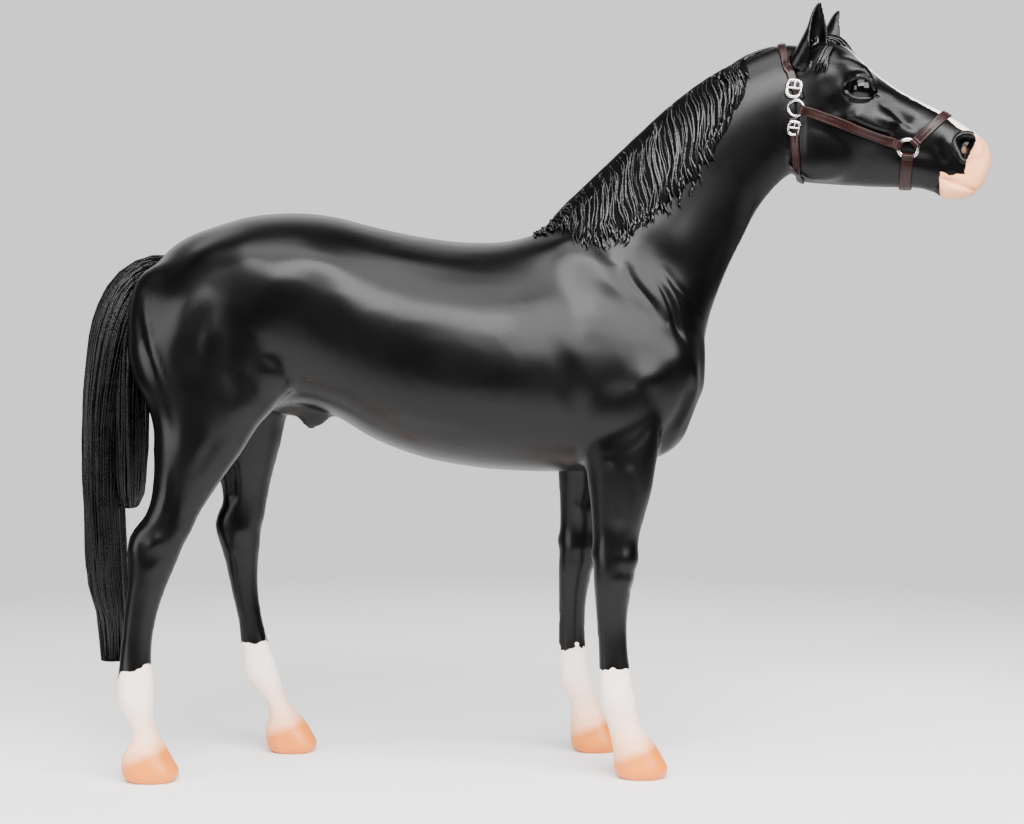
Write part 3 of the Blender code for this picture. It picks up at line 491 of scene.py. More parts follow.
ears = {
    # share of the length and half width
    "outline": [(0.0, 4.1), (0.12, 4.55), (0.36, 4.4), (0.5, 3.95), (0.62, 3.45), (0.72, 3.2), (0.83, 2.8),
                (0.93, 2.05), (1.0, 0.95)],
    # share of the length and how far each edge comes round
    "wrap": [(0.0, 176), (0.12, 165), (0.3, 140), (0.5, 114), (0.7, 84), (0.85, 58), (1.0, 40)],
    "wall": 0.9,
    "bow": 1.8,     # how far the middle stands ahead of the straight line from foot to tip
    "flat": 0.85,
    "lean": 0.5,
    "rows": 15,
    "columns": 17,
    # foot, tip and turn
    "right": ((86.0, -5.6, 208.8), (92.2, -7.4, 227.9), 150),
    "left": ((87.4, 5.6, 209.0), (96.6, 6.8, 226.9), -146),
}


# a leaf rolled round its line, thickened to a cup
def earLeaf(name):
    foot, tip, turn = ears[name]
    foot = np.array(foot)
    line = np.array(tip) - foot
    turned = np.array(
        Vector(line).to_track_quat("Z", "X").to_matrix() @ Matrix.Rotation(math.radians(turn), 3, "Z"))
    outline, wrap = np.array(ears["outline"]), np.array(ears["wrap"])
    leaf = newPiece("ear" + name, bpy.ops.mesh.primitive_grid_add, x_subdivisions=ears["columns"] - 1,
                    y_subdivisions=ears["rows"] - 1, size=mm)
    points = []
    for share in np.linspace(0, 1, ears["rows"]):
        halfWidth = max(np.interp(share, outline[:, 0], outline[:, 1]) - ears["wall"] / 2, 0.12)
        reach = math.radians(np.interp(share, wrap[:, 0], wrap[:, 1]))
        bowed = np.array([ears["bow"] * math.sin(math.pi * share ** 0.9), 0, 0])
        for v in np.linspace(-1, 1, ears["columns"]):
            angle = math.pi + v * reach
            ahead = halfWidth * ears["flat"] * math.cos(angle) + ears["lean"] * share
            across = turned @ np.array([ahead, halfWidth * math.sin(angle), 0])
            points.append(foot + line * share + bowed + across)
    setPoints(leaf, points)
    applyModifier(leaf, "SOLIDIFY", thickness=ears["wall"] * mm, offset=0)
    return flipOutwards(leaf)


def fuse(name, pieces, voxel):
    return applyModifier(
        joinPieces(name, pieces), "REMESH", mode="VOXEL", voxel_size=body[voxel] * mm, adaptivity=0)


def makeBody():
    rounds, joinFactor = body["rounds"], body["joinFactor"]
    lofts = [profileLoft("trunkLoft", trunkTable), profileLoft("neckLoft", neckTable)]
    lofts += [legLoft(name) for name in legs] + roundMasses(bodyMasses)
    coarse = fuse("skin", lofts + onHead([profileLoft("headLoft", headTable)] + roundMasses(headMasses)),
                  "coarseVoxel")
    # legs and head are smoothed less than the trunk
    relax(coarse, rounds["coarse"], lambda p: np.minimum(
        np.interp(p[:, 2], [60, 104], [0.5, 1.0]), np.interp(p[:, 0], [70, 88], [1.0, 0.6])))
    relax(coarse, rounds["trunkJoins"], lambda p: nearPlaces(p, body["trunkJoins"], 2), joinFactor)
    print("coarse body", len(coarse.data.vertices))
    headParts = [profileLoft("headLoft", headTable), *roundMasses(headMasses)]
    headParts += [earLeaf("right"), earLeaf("left")]
    shortNeck = [row for row in neckTable if row[0] > 30]
    fine = fuse("fineHead", onHead(headParts) + [profileLoft("neckLoft", shortNeck)], "fineVoxel")
    # the ears stay crisp
    relax(fine, rounds["fine"], lambda p: np.interp(p[:, 2], [216, 219], [1.0, 0.4]))
    relax(fine, rounds["headJoins"], lambda p: nearPlaces(toHead(p), body["headJoins"], 4), joinFactor)
    print("fine head", len(fine.data.vertices))
    (x, z), slope, blend = body["seam"]
    angle = math.radians(slope)
    onPlane = fromHead([[x, 0, z]])[0]
    normal = headAxes @ Vector((math.sin(angle), 0, -math.cos(angle)))
    for piece, inner in ((fine, normal), (coarse, -normal)):
        editWhole(piece, bpy.ops.mesh.bisect, plane_co=[v * mm for v in onPlane], plane_no=inner,
                  clear_inner=True, threshold=1e-7)
    whole = joinPieces("skin", [coarse, fine])
    bpy.ops.object.mode_set(mode="EDIT")
    bpy.ops.mesh.select_mode(type="EDGE")
    bpy.ops.mesh.select_all(action="DESELECT")
    bpy.ops.mesh.select_non_manifold(extend=False, use_wire=False, use_boundary=True, use_multi_face=False,
                                     use_non_contiguous=False, use_verts=False)
    bpy.ops.mesh.bridge_edge_loops()
    bpy.ops.object.mode_set(mode="OBJECT")
    flipOutwards(whole)
    return relax(whole, rounds["seam"], lambda p: bell((p - onPlane) @ np.array(normal), blend))


skin = makeBody()
print("body fused", len(skin.data.vertices), len(skin.data.polygons))


# sculpting on the fused body

# a closed smooth outline through a few (x, z) points
def smoothLoop(corners, steps=8):
    corners = np.array(corners, float)
    before, after = np.roll(corners, 1, 0), np.roll(corners, -1, 0)
    beyond = np.roll(corners, -2, 0)
    loop = [
        0.5 * (2 * corners + (after - before) * t + (2 * before - 5 * corners + 4 * after - beyond) * t**2
               + (3 * corners - before - 3 * after + beyond) * t**3)
        for t in np.linspace(0, 1, steps, endpoint=False)]
    return np.stack(loop, 1).reshape(-1, 2)


# distance to a run of points, with the share along it where each point lies closest
def pathDistance(points, path):
    start, run = path[:-1], np.diff(path, axis=0)
    square = np.maximum((run**2).sum(1), 1e-9)
    offset = points[:, None, :] - start[None]
    t = np.clip((offset * run[None]).sum(2) / square, 0, 1)
    gap = np.linalg.norm(offset - t[:, :, None] * run[None], axis=2)
    nearest = gap.argmin(1)
    picked = np.arange(len(points)), nearest
    lengths = np.sqrt(square)
    before = np.concatenate([[0], np.cumsum(lengths)[:-1]])
    return gap[picked], (before[nearest] + t[picked] * lengths[nearest]) / lengths.sum()


# distance to an outline seen from the side, negative inside it
def loopDistance(points, loop):
    flat = points[:, [0, 2]]
    closed = np.vstack([loop, loop[:1]])
    gap, _ = pathDistance(flat, closed)
    x, z = flat[:, :1], flat[:, 1:]
    (ax, az), (bx, bz) = closed[:-1].T[:, None], closed[1:].T[:, None]
    crosses = ((az > z) != (bz > z)) & (x < (bx - ax) * (z - az) / np.where(bz == az, 1e-9, bz - az) + ax)
    return np.where(crosses.sum(1) % 2 == 1, -gap, gap)


def curveThrough(path, steps=10):
    path = np.array(path, float)
    if len(path) < 3:
        return path
    rows = np.hstack([path, np.zeros((len(path), 2))])
    return along(rows, np.linspace(0, 1, steps * (len(path) - 1) + 1))[:, :2]


# 1 along a line, fading over a share of it at each end
def fadeEnds(share, fade):
    return smoothStep(share, 0, fade) * (1 - smoothStep(share, 1 - fade, 1))


# moves the skin along its normals near a line seen from the side
def carve(points, normals, move, side, depth, width, path, shift=None, low=3.0):
    line = curveThrough(path)
    if shift is not None:
        line = line + np.stack([shift(line[:, 1]), np.zeros(len(line))], 1)
    reach = 3 * width
    flat = points[:, [0, 2]]
    near = np.all((flat > line.min(0) - reach) & (flat < line.max(0) + reach), axis=1)
    near &= (points[:, 1] * side > low) & (normals[:, 1] * side > 0.02)
    chosen = np.where(near)[0]
    if not len(chosen):
        return
    gap, share = pathDistance(flat[chosen], line)
    ends = fadeEnds(share, 0.3 if width < 1.4 else 0.42) if len(path) > 2 else 1
    facing = smoothStep(normals[chosen, 1] * side, *body["facing"])
    move[chosen] += body["carveStrength"] * depth * bell(gap, width) * ends * facing


# a soft round swelling or hollow
def press(points, normals, move, side, depth, x, z, halfLength, halfHeight, slope=0, low=3.0):
    turn = math.radians(slope)
    dx, dz = points[:, 0] - x, points[:, 2] - z
    a = (dx * math.cos(turn) + dz * math.sin(turn)) / halfLength
    b = (-dx * math.sin(turn) + dz * math.cos(turn)) / halfHeight
    facing = smoothStep(normals[:, 1] * side, *body["facing"]) * (points[:, 1] * side > low)
    move += body["pressStrength"] * depth * np.exp(-(a * a + b * b)) * facing


# depth, width, then the line as (x, z)
bodyLines = {
    "body": [
        (-0.6, 1.2, [(32, 153), (33.4, 151), (35.2, 146.8), (38.4, 142.8), (41.2, 139.4), (43.5, 134)]),
        (-0.65, 1.0, [(41.4, 148.6), (44.8, 143.4), (46.8, 138.9), (48.6, 132.3), (50.7, 128.3),
                      (53.2, 125)]),
        (0.2, 0.8, [(43.6, 148.6), (46.9, 143.6), (49.2, 138.6), (51.2, 132.4)]),
        (-0.4, 1.1, [(42.5, 151.5), (45.3, 149.4), (48, 145.7), (51.4, 141.8), (54.5, 138), (57, 134)]),
        (-0.5, 1.3, [(52.0, 125.6), (52.2, 117), (50.2, 110), (46.8, 103.6), (42.8, 97)]),
        (0.45, 1.2, [(54.0, 124), (54.4, 115.6), (52.2, 108.9), (48.9, 102.4), (45.0, 95.4)]),
        (-0.15, 1.2, [(20.6, 95.6), (25.6, 95.4), (30.4, 96.2), (36.2, 99.2), (41.2, 103.4), (43.6, 101.8),
                      (44.0, 98)]),
        (-0.8, 3.2, [(10.5, 133), (13.8, 126), (17.4, 115), (19.3, 106), (20.3, 98)]),
        (-0.5, 4.0, [(14, 152), (17, 143), (19, 133), (21, 124)]),
        (0.5, 1.0, [(73.0, 174), (70.6, 166), (68.0, 158.5), (63.6, 147.4), (58.6, 138.4)]),
        (-0.8, 2.4, [(71.0, 178), (67.6, 168), (64.4, 158), (60.2, 148), (55.4, 140.5)]),
        (-0.45, 2.6, [(-44, 112), (-34, 106), (-20, 103), (-4, 102)]),
        (0.5, 3.0, [(-50, 156.5), (-36, 153.8), (-20, 152), (-4, 151.6)]),
    ],
    "hind": [
        (-0.55, 1.25, [(-109.0, 141), (-109.2, 138), (-107.9, 131.2), (-105.5, 123.6),
                       (-101.8, 112), (-99.5, 103.2), (-98.2, 95)]),
        (0.45, 1.2, [(-106.3, 145), (-106.8, 138), (-105.6, 131.4), (-103.3, 124.2), (-99.6, 112.5)]),
        (-0.6, 3.5, [(-87.4, 142.5), (-90.4, 134.5), (-92.2, 127), (-93.0, 117)]),
        (0.15, 2.8, [(-84.0, 140), (-86.4, 131.5), (-88.3, 122)]),
        (-1.0, 2.9, [(-80.2, 140), (-81.0, 130), (-80.9, 120), (-79.5, 112.5), (-77.4, 108.5)]),
        (0.12, 2.2, [(-105.2, 149.5), (-100.4, 152.6), (-93.8, 154.4), (-82.5, 156.0)]),
        (-0.15, 2.4, [(-96.6, 149.8), (-92.2, 150.8), (-84.5, 151.4), (-78, 152)]),
        (-0.6, 2.4, [(-82.4, 105), (-86.0, 100.8), (-89.4, 95), (-91.8, 89.2)]),
        (0.45, 1.8, [(-86.5, 104), (-91, 97), (-94.5, 89.5)]),
        (-0.7, 1.1, [(-97.8, 93), (-98.3, 87), (-98.9, 82), (-100.6, 76.5)]),
        (-0.6, 2.2, [(-64.5, 124), (-63.6, 117), (-62.5, 111.5)]),
    ],
}
# depth, x, z, half length, half height, slope
bodyPresses = {
    "body": [
        (1.5, 38.6, 117.5, 5.4, 4.6, 35), (1.0, 48.6, 124.0, 4.4, 5.6, -20),
        (0.9, -55.5, 152.8, 7.5, 4.2, -18), (-0.9, -56.0, 137.0, 8.0, 10.0, 0),
        (0.5, 24.0, 112.0, 6.0, 9.0, 0), (0.6, -22.0, 139.0, 15.0, 7.0, 0),
        (-1.5, 45.5, 151.5, 8.5, 6.0, -45),
    ],
    "hind": [
        (0.7, -74.6, 132.0, 4.4, 7.0, 20), (0.2, -71.6, 120.2, 4.4, 4.8, 30),
        (0.4, -94.5, 141.0, 4.6, 8.5, -20),
    ],
}
# which face of the leg, depth, width, then the line as (distance from the leg's middle, z)
legLines = {
    "fore": [
        ("outer", -0.25, 0.9, [(-1.6, 55), (-1.4, 46), (-1.3, 37), (-1.6, 29)]),
        ("outer", -0.45, 1.2, [(2.2, 94), (2.6, 86), (2.4, 78), (1.6, 71)]),
        ("outer", -0.4, 1.2, [(-3.6, 95), (-3.6, 86), (-3.0, 78), (-2.2, 71)]),
        ("inner", -0.5, 1.4, [(1.0, 92), (1.4, 84), (1.0, 76)]),
        ("outer", -0.3, 0.7, [(0.4, 61.8), (2.6, 61.2), (5.5, 61.0)]),
        ("front", -0.3, 0.7, [(-5, 61.0), (0, 61.2), (5, 61.0)]),
        ("front", -0.35, 0.7, [(-4, 56.2), (0, 55.6), (4, 56.2)]),
        ("outer", -0.3, 0.8, [(-3.5, 18.6), (0, 17.6), (3, 17.2)]),
    ],
    "hind": [
        ("outer", -0.25, 0.9, [(-1.4, 57), (-1.3, 48), (-1.2, 40), (-1.6, 33)]),
        ("inner", -0.2, 1.0, [(-1.4, 57), (-1.3, 48), (-1.2, 40), (-1.6, 33)]),
        ("inner", -0.8, 1.2, [(-3.6, 92), (-3.4, 84), (-3.6, 78)]),
        ("outer", -0.55, 0.9, [(-4.2, 70.5), (-2.2, 67.6), (-0.4, 63.5)]),
        ("outer", -0.3, 0.8, [(-3.5, 18.4), (0, 17.2), (3, 16.8)]),
    ],
}
legPresses = {
    "fore": [
        ("outer", 0.4, 2.6, 65.4, 1.6, 2.4), ("outer", 0.35, 2.4, 58.6, 2.0, 1.6),
        ("outer", 0.35, 3.2, 76.0, 1.8, 6.0), ("inner", 0.4, 0, 64.5, 2.6, 1.8),
        ("outer", 0.35, 0.4, 23.4, 2.2, 2.4), ("inner", 0.35, 0.4, 23.4, 2.2, 2.4),
        ("rear", 0.7, 0, 66.2, 2.6, 2.2), ("rear", 0.5, 0, 21.4, 2.0, 1.8),
        ("front", 0.4, 0, 64.6, 3.2, 2.2), ("inner", 0.5, -1.6, 77.0, 0.9, 2.2),
    ],
    "hind": [
        ("outer", 0.65, 0.6, 70.6, 2.2, 2.2), ("inner", 0.55, 1.4, 69.6, 2.6, 3.0),
        ("outer", 0.3, 1.6, 63.6, 2.0, 1.8),
        ("outer", 0.35, 0.4, 23.8, 2.2, 2.4), ("inner", 0.35, 0.4, 23.8, 2.2, 2.4),
        ("rear", 0.5, 0, 21.6, 2.0, 1.8), ("inner", 0.45, -2.0, 63.4, 0.8, 1.8),
    ],
}


# quarters the skin's faces near some places, for crisper detail
def refine(centres):
    selectOnly(skin)
    middles = np.empty(len(skin.data.polygons) * 3)
    skin.data.polygons.foreach_get("center", middles)
    middles = middles.reshape(-1, 3) / mm
    chosen = np.zeros(len(middles), bool)
    for x, y, z, radius in centres:
        chosen |= np.linalg.norm(middles - (x, y, z), axis=1) < radius
    bpy.ops.object.mode_set(mode="EDIT")
    bpy.ops.mesh.select_mode(type="FACE")
    bpy.ops.mesh.select_all(action="DESELECT")
    bpy.ops.object.mode_set(mode="OBJECT")
    skin.data.polygons.foreach_set("select", chosen)
    bpy.ops.object.mode_set(mode="EDIT")
    bpy.ops.mesh.subdivide(number_cuts=1, smoothness=0)
    bpy.ops.object.mode_set(mode="OBJECT")


# the lines of the hindquarters follow the left hind leg forwards
def legShift(kind, side):
    if side == right or kind == "body":
        return None
    return lambda z: stanceAt("hindLeft", z)[0]


def sculptBody():
    refine([(x, side * y, z, radius) for x, y, z, radius in body["fineSpots"] for side in (right, left)])
    points, normals = getPoints(skin), getNormals(skin)
    move = np.zeros(len(points))
    for kind, lines in bodyLines.items():
        for depth, width, path in lines:
            for side in (right, left):
                carve(points, normals, move, side, depth, width, path, legShift(kind, side))
    for kind, spots in bodyPresses.items():
        for depth, x, z, *size in spots:
            for side in (right, left):
                shift = legShift(kind, side)
                press(points, normals, move, side, depth, x + (shift(z) if shift else 0), z, *size)
    setPoints(skin, points + normals * move[:, None])


def sculptLegs():
    points, normals = getPoints(skin), getNormals(skin)
    move = np.zeros(len(points))
    for name, (_, side, _) in legs.items():
        kind = "fore" if name.startswith("fore") else "hind"
        low = np.where((points[:, 2] < body["legsBelow"]) & (points[:, 1] * side > 2))[0]
        z = points[low, 2]
        middleX, middleY, halfDepth, halfWidth = legAt(name, z)
        ahead = points[low, 0] - middleX
        outwards = (points[low, 1] - middleY) * side
        own = (np.abs(ahead) < halfDepth + 4) & (np.abs(outwards) < halfWidth + 4)
        views = {
            "outer": (ahead, normals[low, 1] * side), "inner": (ahead, -normals[low, 1] * side),
            "front": (outwards, normals[low, 0]), "rear": (outwards, -normals[low, 0]),
        }
        for face, depth, width, path in legLines[kind]:
            offset, facing = views[face]
            gap, share = pathDistance(np.stack([offset, z], 1), curveThrough(path))
            seen = smoothStep(facing, *body["legFacing"]) * own
            move[low] += depth * bell(gap, width) * fadeEnds(share, 0.15) * seen
        for face, depth, across, up, wide, high in legPresses[kind]:
            offset, facing = views[face]
            square = ((offset - across) / wide) ** 2 + ((z - up) / high) ** 2
            move[low] += depth * np.exp(-square) * smoothStep(facing, *body["legFacing"]) * own
    setPoints(skin, points + normals * move[:, None])


eyes = {
    "centre": (104.2, 7.75, 202.5),
    "radius": 4.4,
    "opening": [(99.8, 201.9), (100.7, 203.8), (102.6, 205.1), (104.8, 204.8), (105.9, 203.5),
                (107.3, 201.8), (110.0, 200.0), (108.2, 200.2), (106.6, 200.8), (104.8, 200.7),
                (102.8, 200.8), (100.9, 201.2)],
    "lidGap": 0.1,
    "lidThick": 0.62,
    # folds of the lids: distance from the opening, width, depth
    "upperFolds": [(1.15, 0.3, 0.42), (2.15, 0.4, 0.4)],
    "lowerFold": (1.15, 0.35, 0.28),
    "ductDepth": 0.7,
    "behindLids": 1.2,
    # where the lids stop following the eyeball, from the eye's middle and from its opening
    "globeFade": (4.0, 5.6),
    "lidFade": (1.6, 3.2),
    "gaze": (0.22, 0.96, 0.08),
    "corneaRise": 0.045,
    "corneaEdge": (0.72, 0.95),
    "boxMiddle": (104.1, 0, 203.2),    # of both eyes together, the drawing is hung on the frame by it
}
nostrils = {
    "opening": [(132.0, 188.0), (133.8, 189.2), (136.3, 189.1), (137.1, 187.3), (135.8, 184.6),
                (134.9, 182.2), (133.7, 182.0), (132.3, 184.4), (131.5, 186.5)],
    "depth": 2.6,
    "wall": 1.5,
    "rim": (0.4, 0.45, 0.5),    # height, distance from the opening, width
}
mouth = {
    "line": [(125.6, 176.5), (127.6, 176.3), (130.0, 175.6), (132.8, 174.5), (136.2, 173.2), (140.5, 172.4)],
    "depth": 0.75,
    "width": 0.5,
}
# (x, z), y and radius of the places of the head with the finest faces
fineHeadSpots = [((105.0, 202.3), 9.8, 6.2), ((134.0, 185.5), 5.6, 4.6), ((132.0, 175.4), 4.5, 4.2)]
# depth, width, then the line as (x, z) in the head's own frame
headLines = [
    # front of the cheek
    (-0.35, 3.4, [(103.8, 177), (106.4, 182.5), (106.6, 188.0)]),
    (-0.5, 1.8, [(112, 184.6), (118, 182.8), (124, 181.6), (129, 181.0)]),
    # brow, and the hollow above the eye
    (0.15, 1.1, [(100.6, 207.6), (103.4, 208.7), (106.6, 207.6), (109.6, 204.6)]),
    (-0.3, 2.6, [(91.5, 205.0), (94.6, 204.0), (98.0, 202.4)]),
    (-0.5, 2.2, [(96.2, 201), (97.0, 197.4), (99.4, 194.4)]),
    # rear rim of the nostril
    (0.35, 0.9, [(130.0, 189.6), (129.8, 186.0), (131.4, 182.4), (133.8, 180.3)]),
    (-0.4, 1.3, [(127.0, 188.4), (127.2, 184.0), (129.8, 180.2)]),
    # chin groove and lips
    (-0.5, 1.0, [(124.6, 173.8), (126.4, 172.6), (128.0, 170.6)]),
    (0.3, 0.9, [(126.5, 177.9), (130.5, 177.3), (134.0, 176.0), (137.8, 174.8)]),
    (0.3, 0.8, [(127.5, 174.4), (130.8, 173.6), (134.0, 172.4)]),
]
# a ledge swells slowly from above and drops away below its line
headLedges = [
    # cheek bone, nasal bone
    (1.7, 4.6, 1.1, [(99.6, 196.2), (101.6, 194.8), (104.8, 193.1), (109.6, 191.2), (115.2, 190.0)]),
    (-0.95, 3.6, 1.2, [(107.6, 199.9), (110.8, 197.9), (114.2, 195.3), (117.8, 192.5), (121.6, 190.0)]),
]
headPresses = [(0.3, 96.0, 189.0, 7.0, 7.0, 0), (0.3, 121.4, 185.6, 3.0, 3.2, 0)]
eyeOpening, nostrilOpening = smoothLoop(eyes["opening"]), smoothLoop(nostrils["opening"])


def carveFace(local, facing, move):
    for depth, width, path in headLines:
        for side in (right, left):
            carve(local, facing, move, side, depth, width, path, low=0.6)
    for depth, *spot in headPresses:
        for side in (right, left):
            press(local, facing, move, side, depth, *spot)
    for depth, above, below, path in headLedges:
        line = curveThrough(path)
        gap, share = pathDistance(local[:, [0, 2]], line)
        width = np.where(local[:, 2] > np.interp(local[:, 0], line[:, 0], line[:, 1]), above, below)
        ends = smoothStep(share, 0, 0.3) * (1 - smoothStep(share, 0.75, 1))
        move += depth * bell(gap, width) * ends * smoothStep(np.abs(local[:, 1]), 2.5, 5.0)
    gap, share = pathDistance(local[:, [0, 2]], curveThrough(mouth["line"]))
    move -= mouth["depth"] * bell(gap, mouth["width"]) * (smoothStep(share, 0, 0.3) * (local[:, 0] > 124))
    for side in (right, left):
        chosen = np.where((local[:, 1] * side > 1.5) & (local[:, 0] > 126))[0]
        gap = loopDistance(local[chosen], nostrilOpening)
        high, away, width = nostrils["rim"]
        move[chosen] -= nostrils["depth"] * smoothStep(-gap, 0, nostrils["wall"])
        move[chosen] += high * bell(gap - away, width)


# wraps the skin round the eyeball, with lids round the opening
def shapeLids(local, facing, side):
    cx, cy, cz = eyes["centre"]
    surface = eyes["radius"] + eyes["lidGap"]
    centre = np.array([cx, side * cy, cz])
    flat = np.hypot(local[:, 0] - cx, local[:, 2] - cz)
    chosen = np.where((flat < 11) & (local[:, 1] * side > 2.5))[0]
    near = local[chosen]
    gap = loopDistance(near, eyeOpening)
    away = near - centre
    reach = np.linalg.norm(away, axis=1)
    globe = 1 - smoothStep(flat[chosen], *eyes["globeFade"])
    lid = surface + eyes["lidThick"] * smoothStep(gap, 0, 0.5)
    above = smoothStep(near[:, 2] - cz, -0.5, 1.5)
    for middle, width, deep in eyes["upperFolds"]:
        lid = lid - deep * above * bell(gap - middle, width)
    middle, width, deep = eyes["lowerFold"]
    lid = lid - deep * (1 - above) * bell(gap - middle, width)
    lid = np.where(gap < 0, surface - eyes["behindLids"] * smoothStep(-gap, 0, 0.4), lid)
    blend = np.where(gap < 0, 1.0, 1 - smoothStep(gap, *eyes["lidFade"]))
    target = reach + (lid - reach) * blend * globe
    duct = (globe - 1) * eyes["ductDepth"] * smoothStep(-gap, -0.1, 0.5)
    local[chosen] = centre + away / reach[:, None] * target[:, None] + facing[chosen] * duct[:, None]


def sculptHead():
    refine([(*fromHead([[x, side * y, z]])[0], radius)
            for side in (right, left) for (x, z), y, radius in fineHeadSpots])
    print("head refined", len(skin.data.vertices))
    points, normals = getPoints(skin), getNormals(skin)
    inHead = np.where(points[:, 0] > body["headFrom"])[0]
    local, facing = headView(points[inHead], normals[inHead])
    move = np.zeros(len(local))
    carveFace(local, facing, move)
    local = local + facing * move[:, None]
    for side in (right, left):
        shapeLids(local, facing, side)
    points[inHead] = fromHead(local)
    setPoints(skin, points)


sculptBody()
sculptLegs()
sculptHead()
relax(skin, body["rounds"]["sculpted"], lambda p: np.where(p[:, 0] > 88, 0.5, 0.8))
smoothShade(skin)
print("body sculpted")


# painted marks, kept on the skin as distances in millimetres

paint = {
    # height, and how much it rises towards the front
    "stockingTop": {"foreRight": (33.2, 0.0), "foreLeft": (33.4, 0.0), "hindRight": (33.2, 0.42),
                    "hindLeft": (34.4, 0.1)},
    "muzzle": [(134.6, 196), (136.4, 190.2), (137.6, 187.2), (136.0, 184), (134.9, 181.6), (134.4, 179.2),
               (134.2, 177.4), (132.4, 177.7), (130.8, 177.1), (129.0, 177.8), (127.3, 178.3), (126.9, 175.9),
               (127.0, 173.0), (127.2, 166), (150, 166), (150, 196)],
    "nostrilSpot": (133.9, 184.7, 0.65, 1.05),
    # x along the face and half width of the blaze
    "blaze": [(100.2, 0.0), (102.5, 3.0), (105.5, 3.8), (111, 3.2), (118, 3.0), (126, 3.0), (132, 3.6),
              (137, 4.5)],
    "stockingsBelow": 60,
    # the distance a mark gets off the blaze, and everywhere that no mark reaches
    "offBlaze": 8.0,
    "farAway": 40.0,
}


def markSkin():
    points, normals = getPoints(skin), getNormals(skin)
    stocking = np.full(len(points), paint["farAway"])
    for name, (base, lean) in paint["stockingTop"].items():
        middleX, _, halfDepth, _ = legAt(name, points[:, 2])
        ahead = points[:, 0] - middleX
        own = (points[:, 2] < paint["stockingsBelow"]) & (points[:, 1] * legs[name][1] > 2)
        own &= np.abs(ahead) < halfDepth + 6
        stocking[own] = (points[:, 2] - base - lean * ahead)[own]
    setMark(skin, "stocking", stocking)
    onFace = np.where(points[:, 0] > body["faceFrom"])[0]
    local, facing = headView(points, normals)
    face, up = local[onFace], facing[onFace, 2]
    run = np.array(paint["blaze"])
    half = np.interp(face[:, 0], run[:, 0], run[:, 1])
    # on top of the face, and not on the floor of a nostril
    onBlaze = (face[:, 0] > run[0, 0]) & (up > 0.1) & ~(loopDistance(face, nostrilOpening) < 0.3)
    x, z, halfLength, halfHeight = paint["nostrilSpot"]
    marks = {
        "lids": loopDistance(face, eyeOpening),
        "muzzle": loopDistance(face, np.array(paint["muzzle"])),
        "blaze": np.where(onBlaze, np.abs(face[:, 1]) - half, paint["offBlaze"]),
        "spot": np.hypot((face[:, 0] - x) / halfLength, (face[:, 2] - z) / halfHeight) - 1,
    }
    for name, gap in marks.items():
        values = np.full(len(points), paint["farAway"])
        values[onFace] = gap
        setMark(skin, name, values)


markSkin()


# hooves

hooves = {
    "slope": math.tan(math.radians(22.0)),    # of the coronet, seen from the side
    "rings": 21,
    "columns": 64,
    "samples": 300,       # heights at which a leg's outline is looked up
    "coronetRounds": 12,
    "roundedBy": 1.5,
    # size and height of the steps of a shallow recess under the sole, which leaves a narrow bearing rim
    "sole": ((0.72, 0.5), (0.8, 0.4), (0.84, 0.0)),
    "legShrink": 0.9,
    "legEnd": 1.2,
    # leg, then x and z of the middle of the coronet
    "names": {
        "fore_right": ("foreRight", 37.0, 11.0), "fore_left": ("foreLeft", 25.0, 11.0),
        "hind_right": ("hindRight", -106.6, 11.2), "hind_left": ("hindLeft", -69.6, 11.2),
    },
}


def hoofOutline(leg, angles, z):
    rows = along(legs[leg][0], np.linspace(0, 1, hooves["samples"]))[::-1].T
    return legOutline(leg, angles, z, *(np.interp(z, rows[0], column) for column in rows[1:]))


def coronetHeight(leg, angles, x0, z0):
    height = np.full(len(angles), z0)
    for _ in range(hooves["coronetRounds"]):
        height = z0 + hooves["slope"] * (hoofOutline(leg, angles, height)[0] - x0)
    return height


def makeHoof(name):
    leg, x0, z0 = hooves["names"][name]
    angles = roundAngles(hooves["columns"])
    top = coronetHeight(leg, angles, x0, z0)
    rings = []
    for share in np.linspace(0, 1, hooves["rings"]):
        z = top * share
        wall = np.stack(hoofOutline(leg, angles, z), 1)
        tuck = 0.1 * smoothStep(share, 0.6, 0.85) - 0.4 * smoothStep(share, 0.86, 1)
        tuck -= hooves["roundedBy"] * (1 - smoothStep(share, -0.1, 0.24)) ** 2
        rings.append(np.column_stack([wall + unit(wall - wall.mean(0)) * tuck, z]))
    first = rings[0]
    middle = first.mean(0)
    rim = [middle + (first - middle) * part + (0, 0, rise) for part, rise in hooves["sole"]]
    hoof = ringTube("hoof_" + name, rim + rings)
    points = getPoints(hoof)
    setMark(hoof, "below", z0 + hooves["slope"] * (points[:, 0] - x0) - points[:, 2])
    return smoothShade(hoof)


# the leg goes on a little thinner inside each hoof
def shrinkUnderHooves():
    points = getPoints(skin)
    for leg, x0, z0 in hooves["names"].values():
        middleX, middleY, halfDepth, _ = legAt(leg, points[:, 2])
        own = (np.abs(points[:, 0] - middleX) < halfDepth + 5) & (points[:, 1] * legs[leg][1] > 2)
        below = z0 + hooves["slope"] * (points[:, 0] - x0) - points[:, 2]
        inwards = np.stack([middleX - points[:, 0], middleY - points[:, 1]], 1)
        inwards /= np.maximum(np.linalg.norm(inwards, axis=1), 0.1)[:, None]
        points[:, :2] += inwards * (hooves["legShrink"] * smoothStep(below, 0.3, 1.6) * own)[:, None]
        points[:, 2] = np.where(own & (points[:, 2] < hooves["legEnd"]), hooves["legEnd"], points[:, 2])
    setPoints(skin, points)


shrinkUnderHooves()
hoofPieces = {name: makeHoof(name) for name in hooves["names"]}
print("hooves made")


# eyes

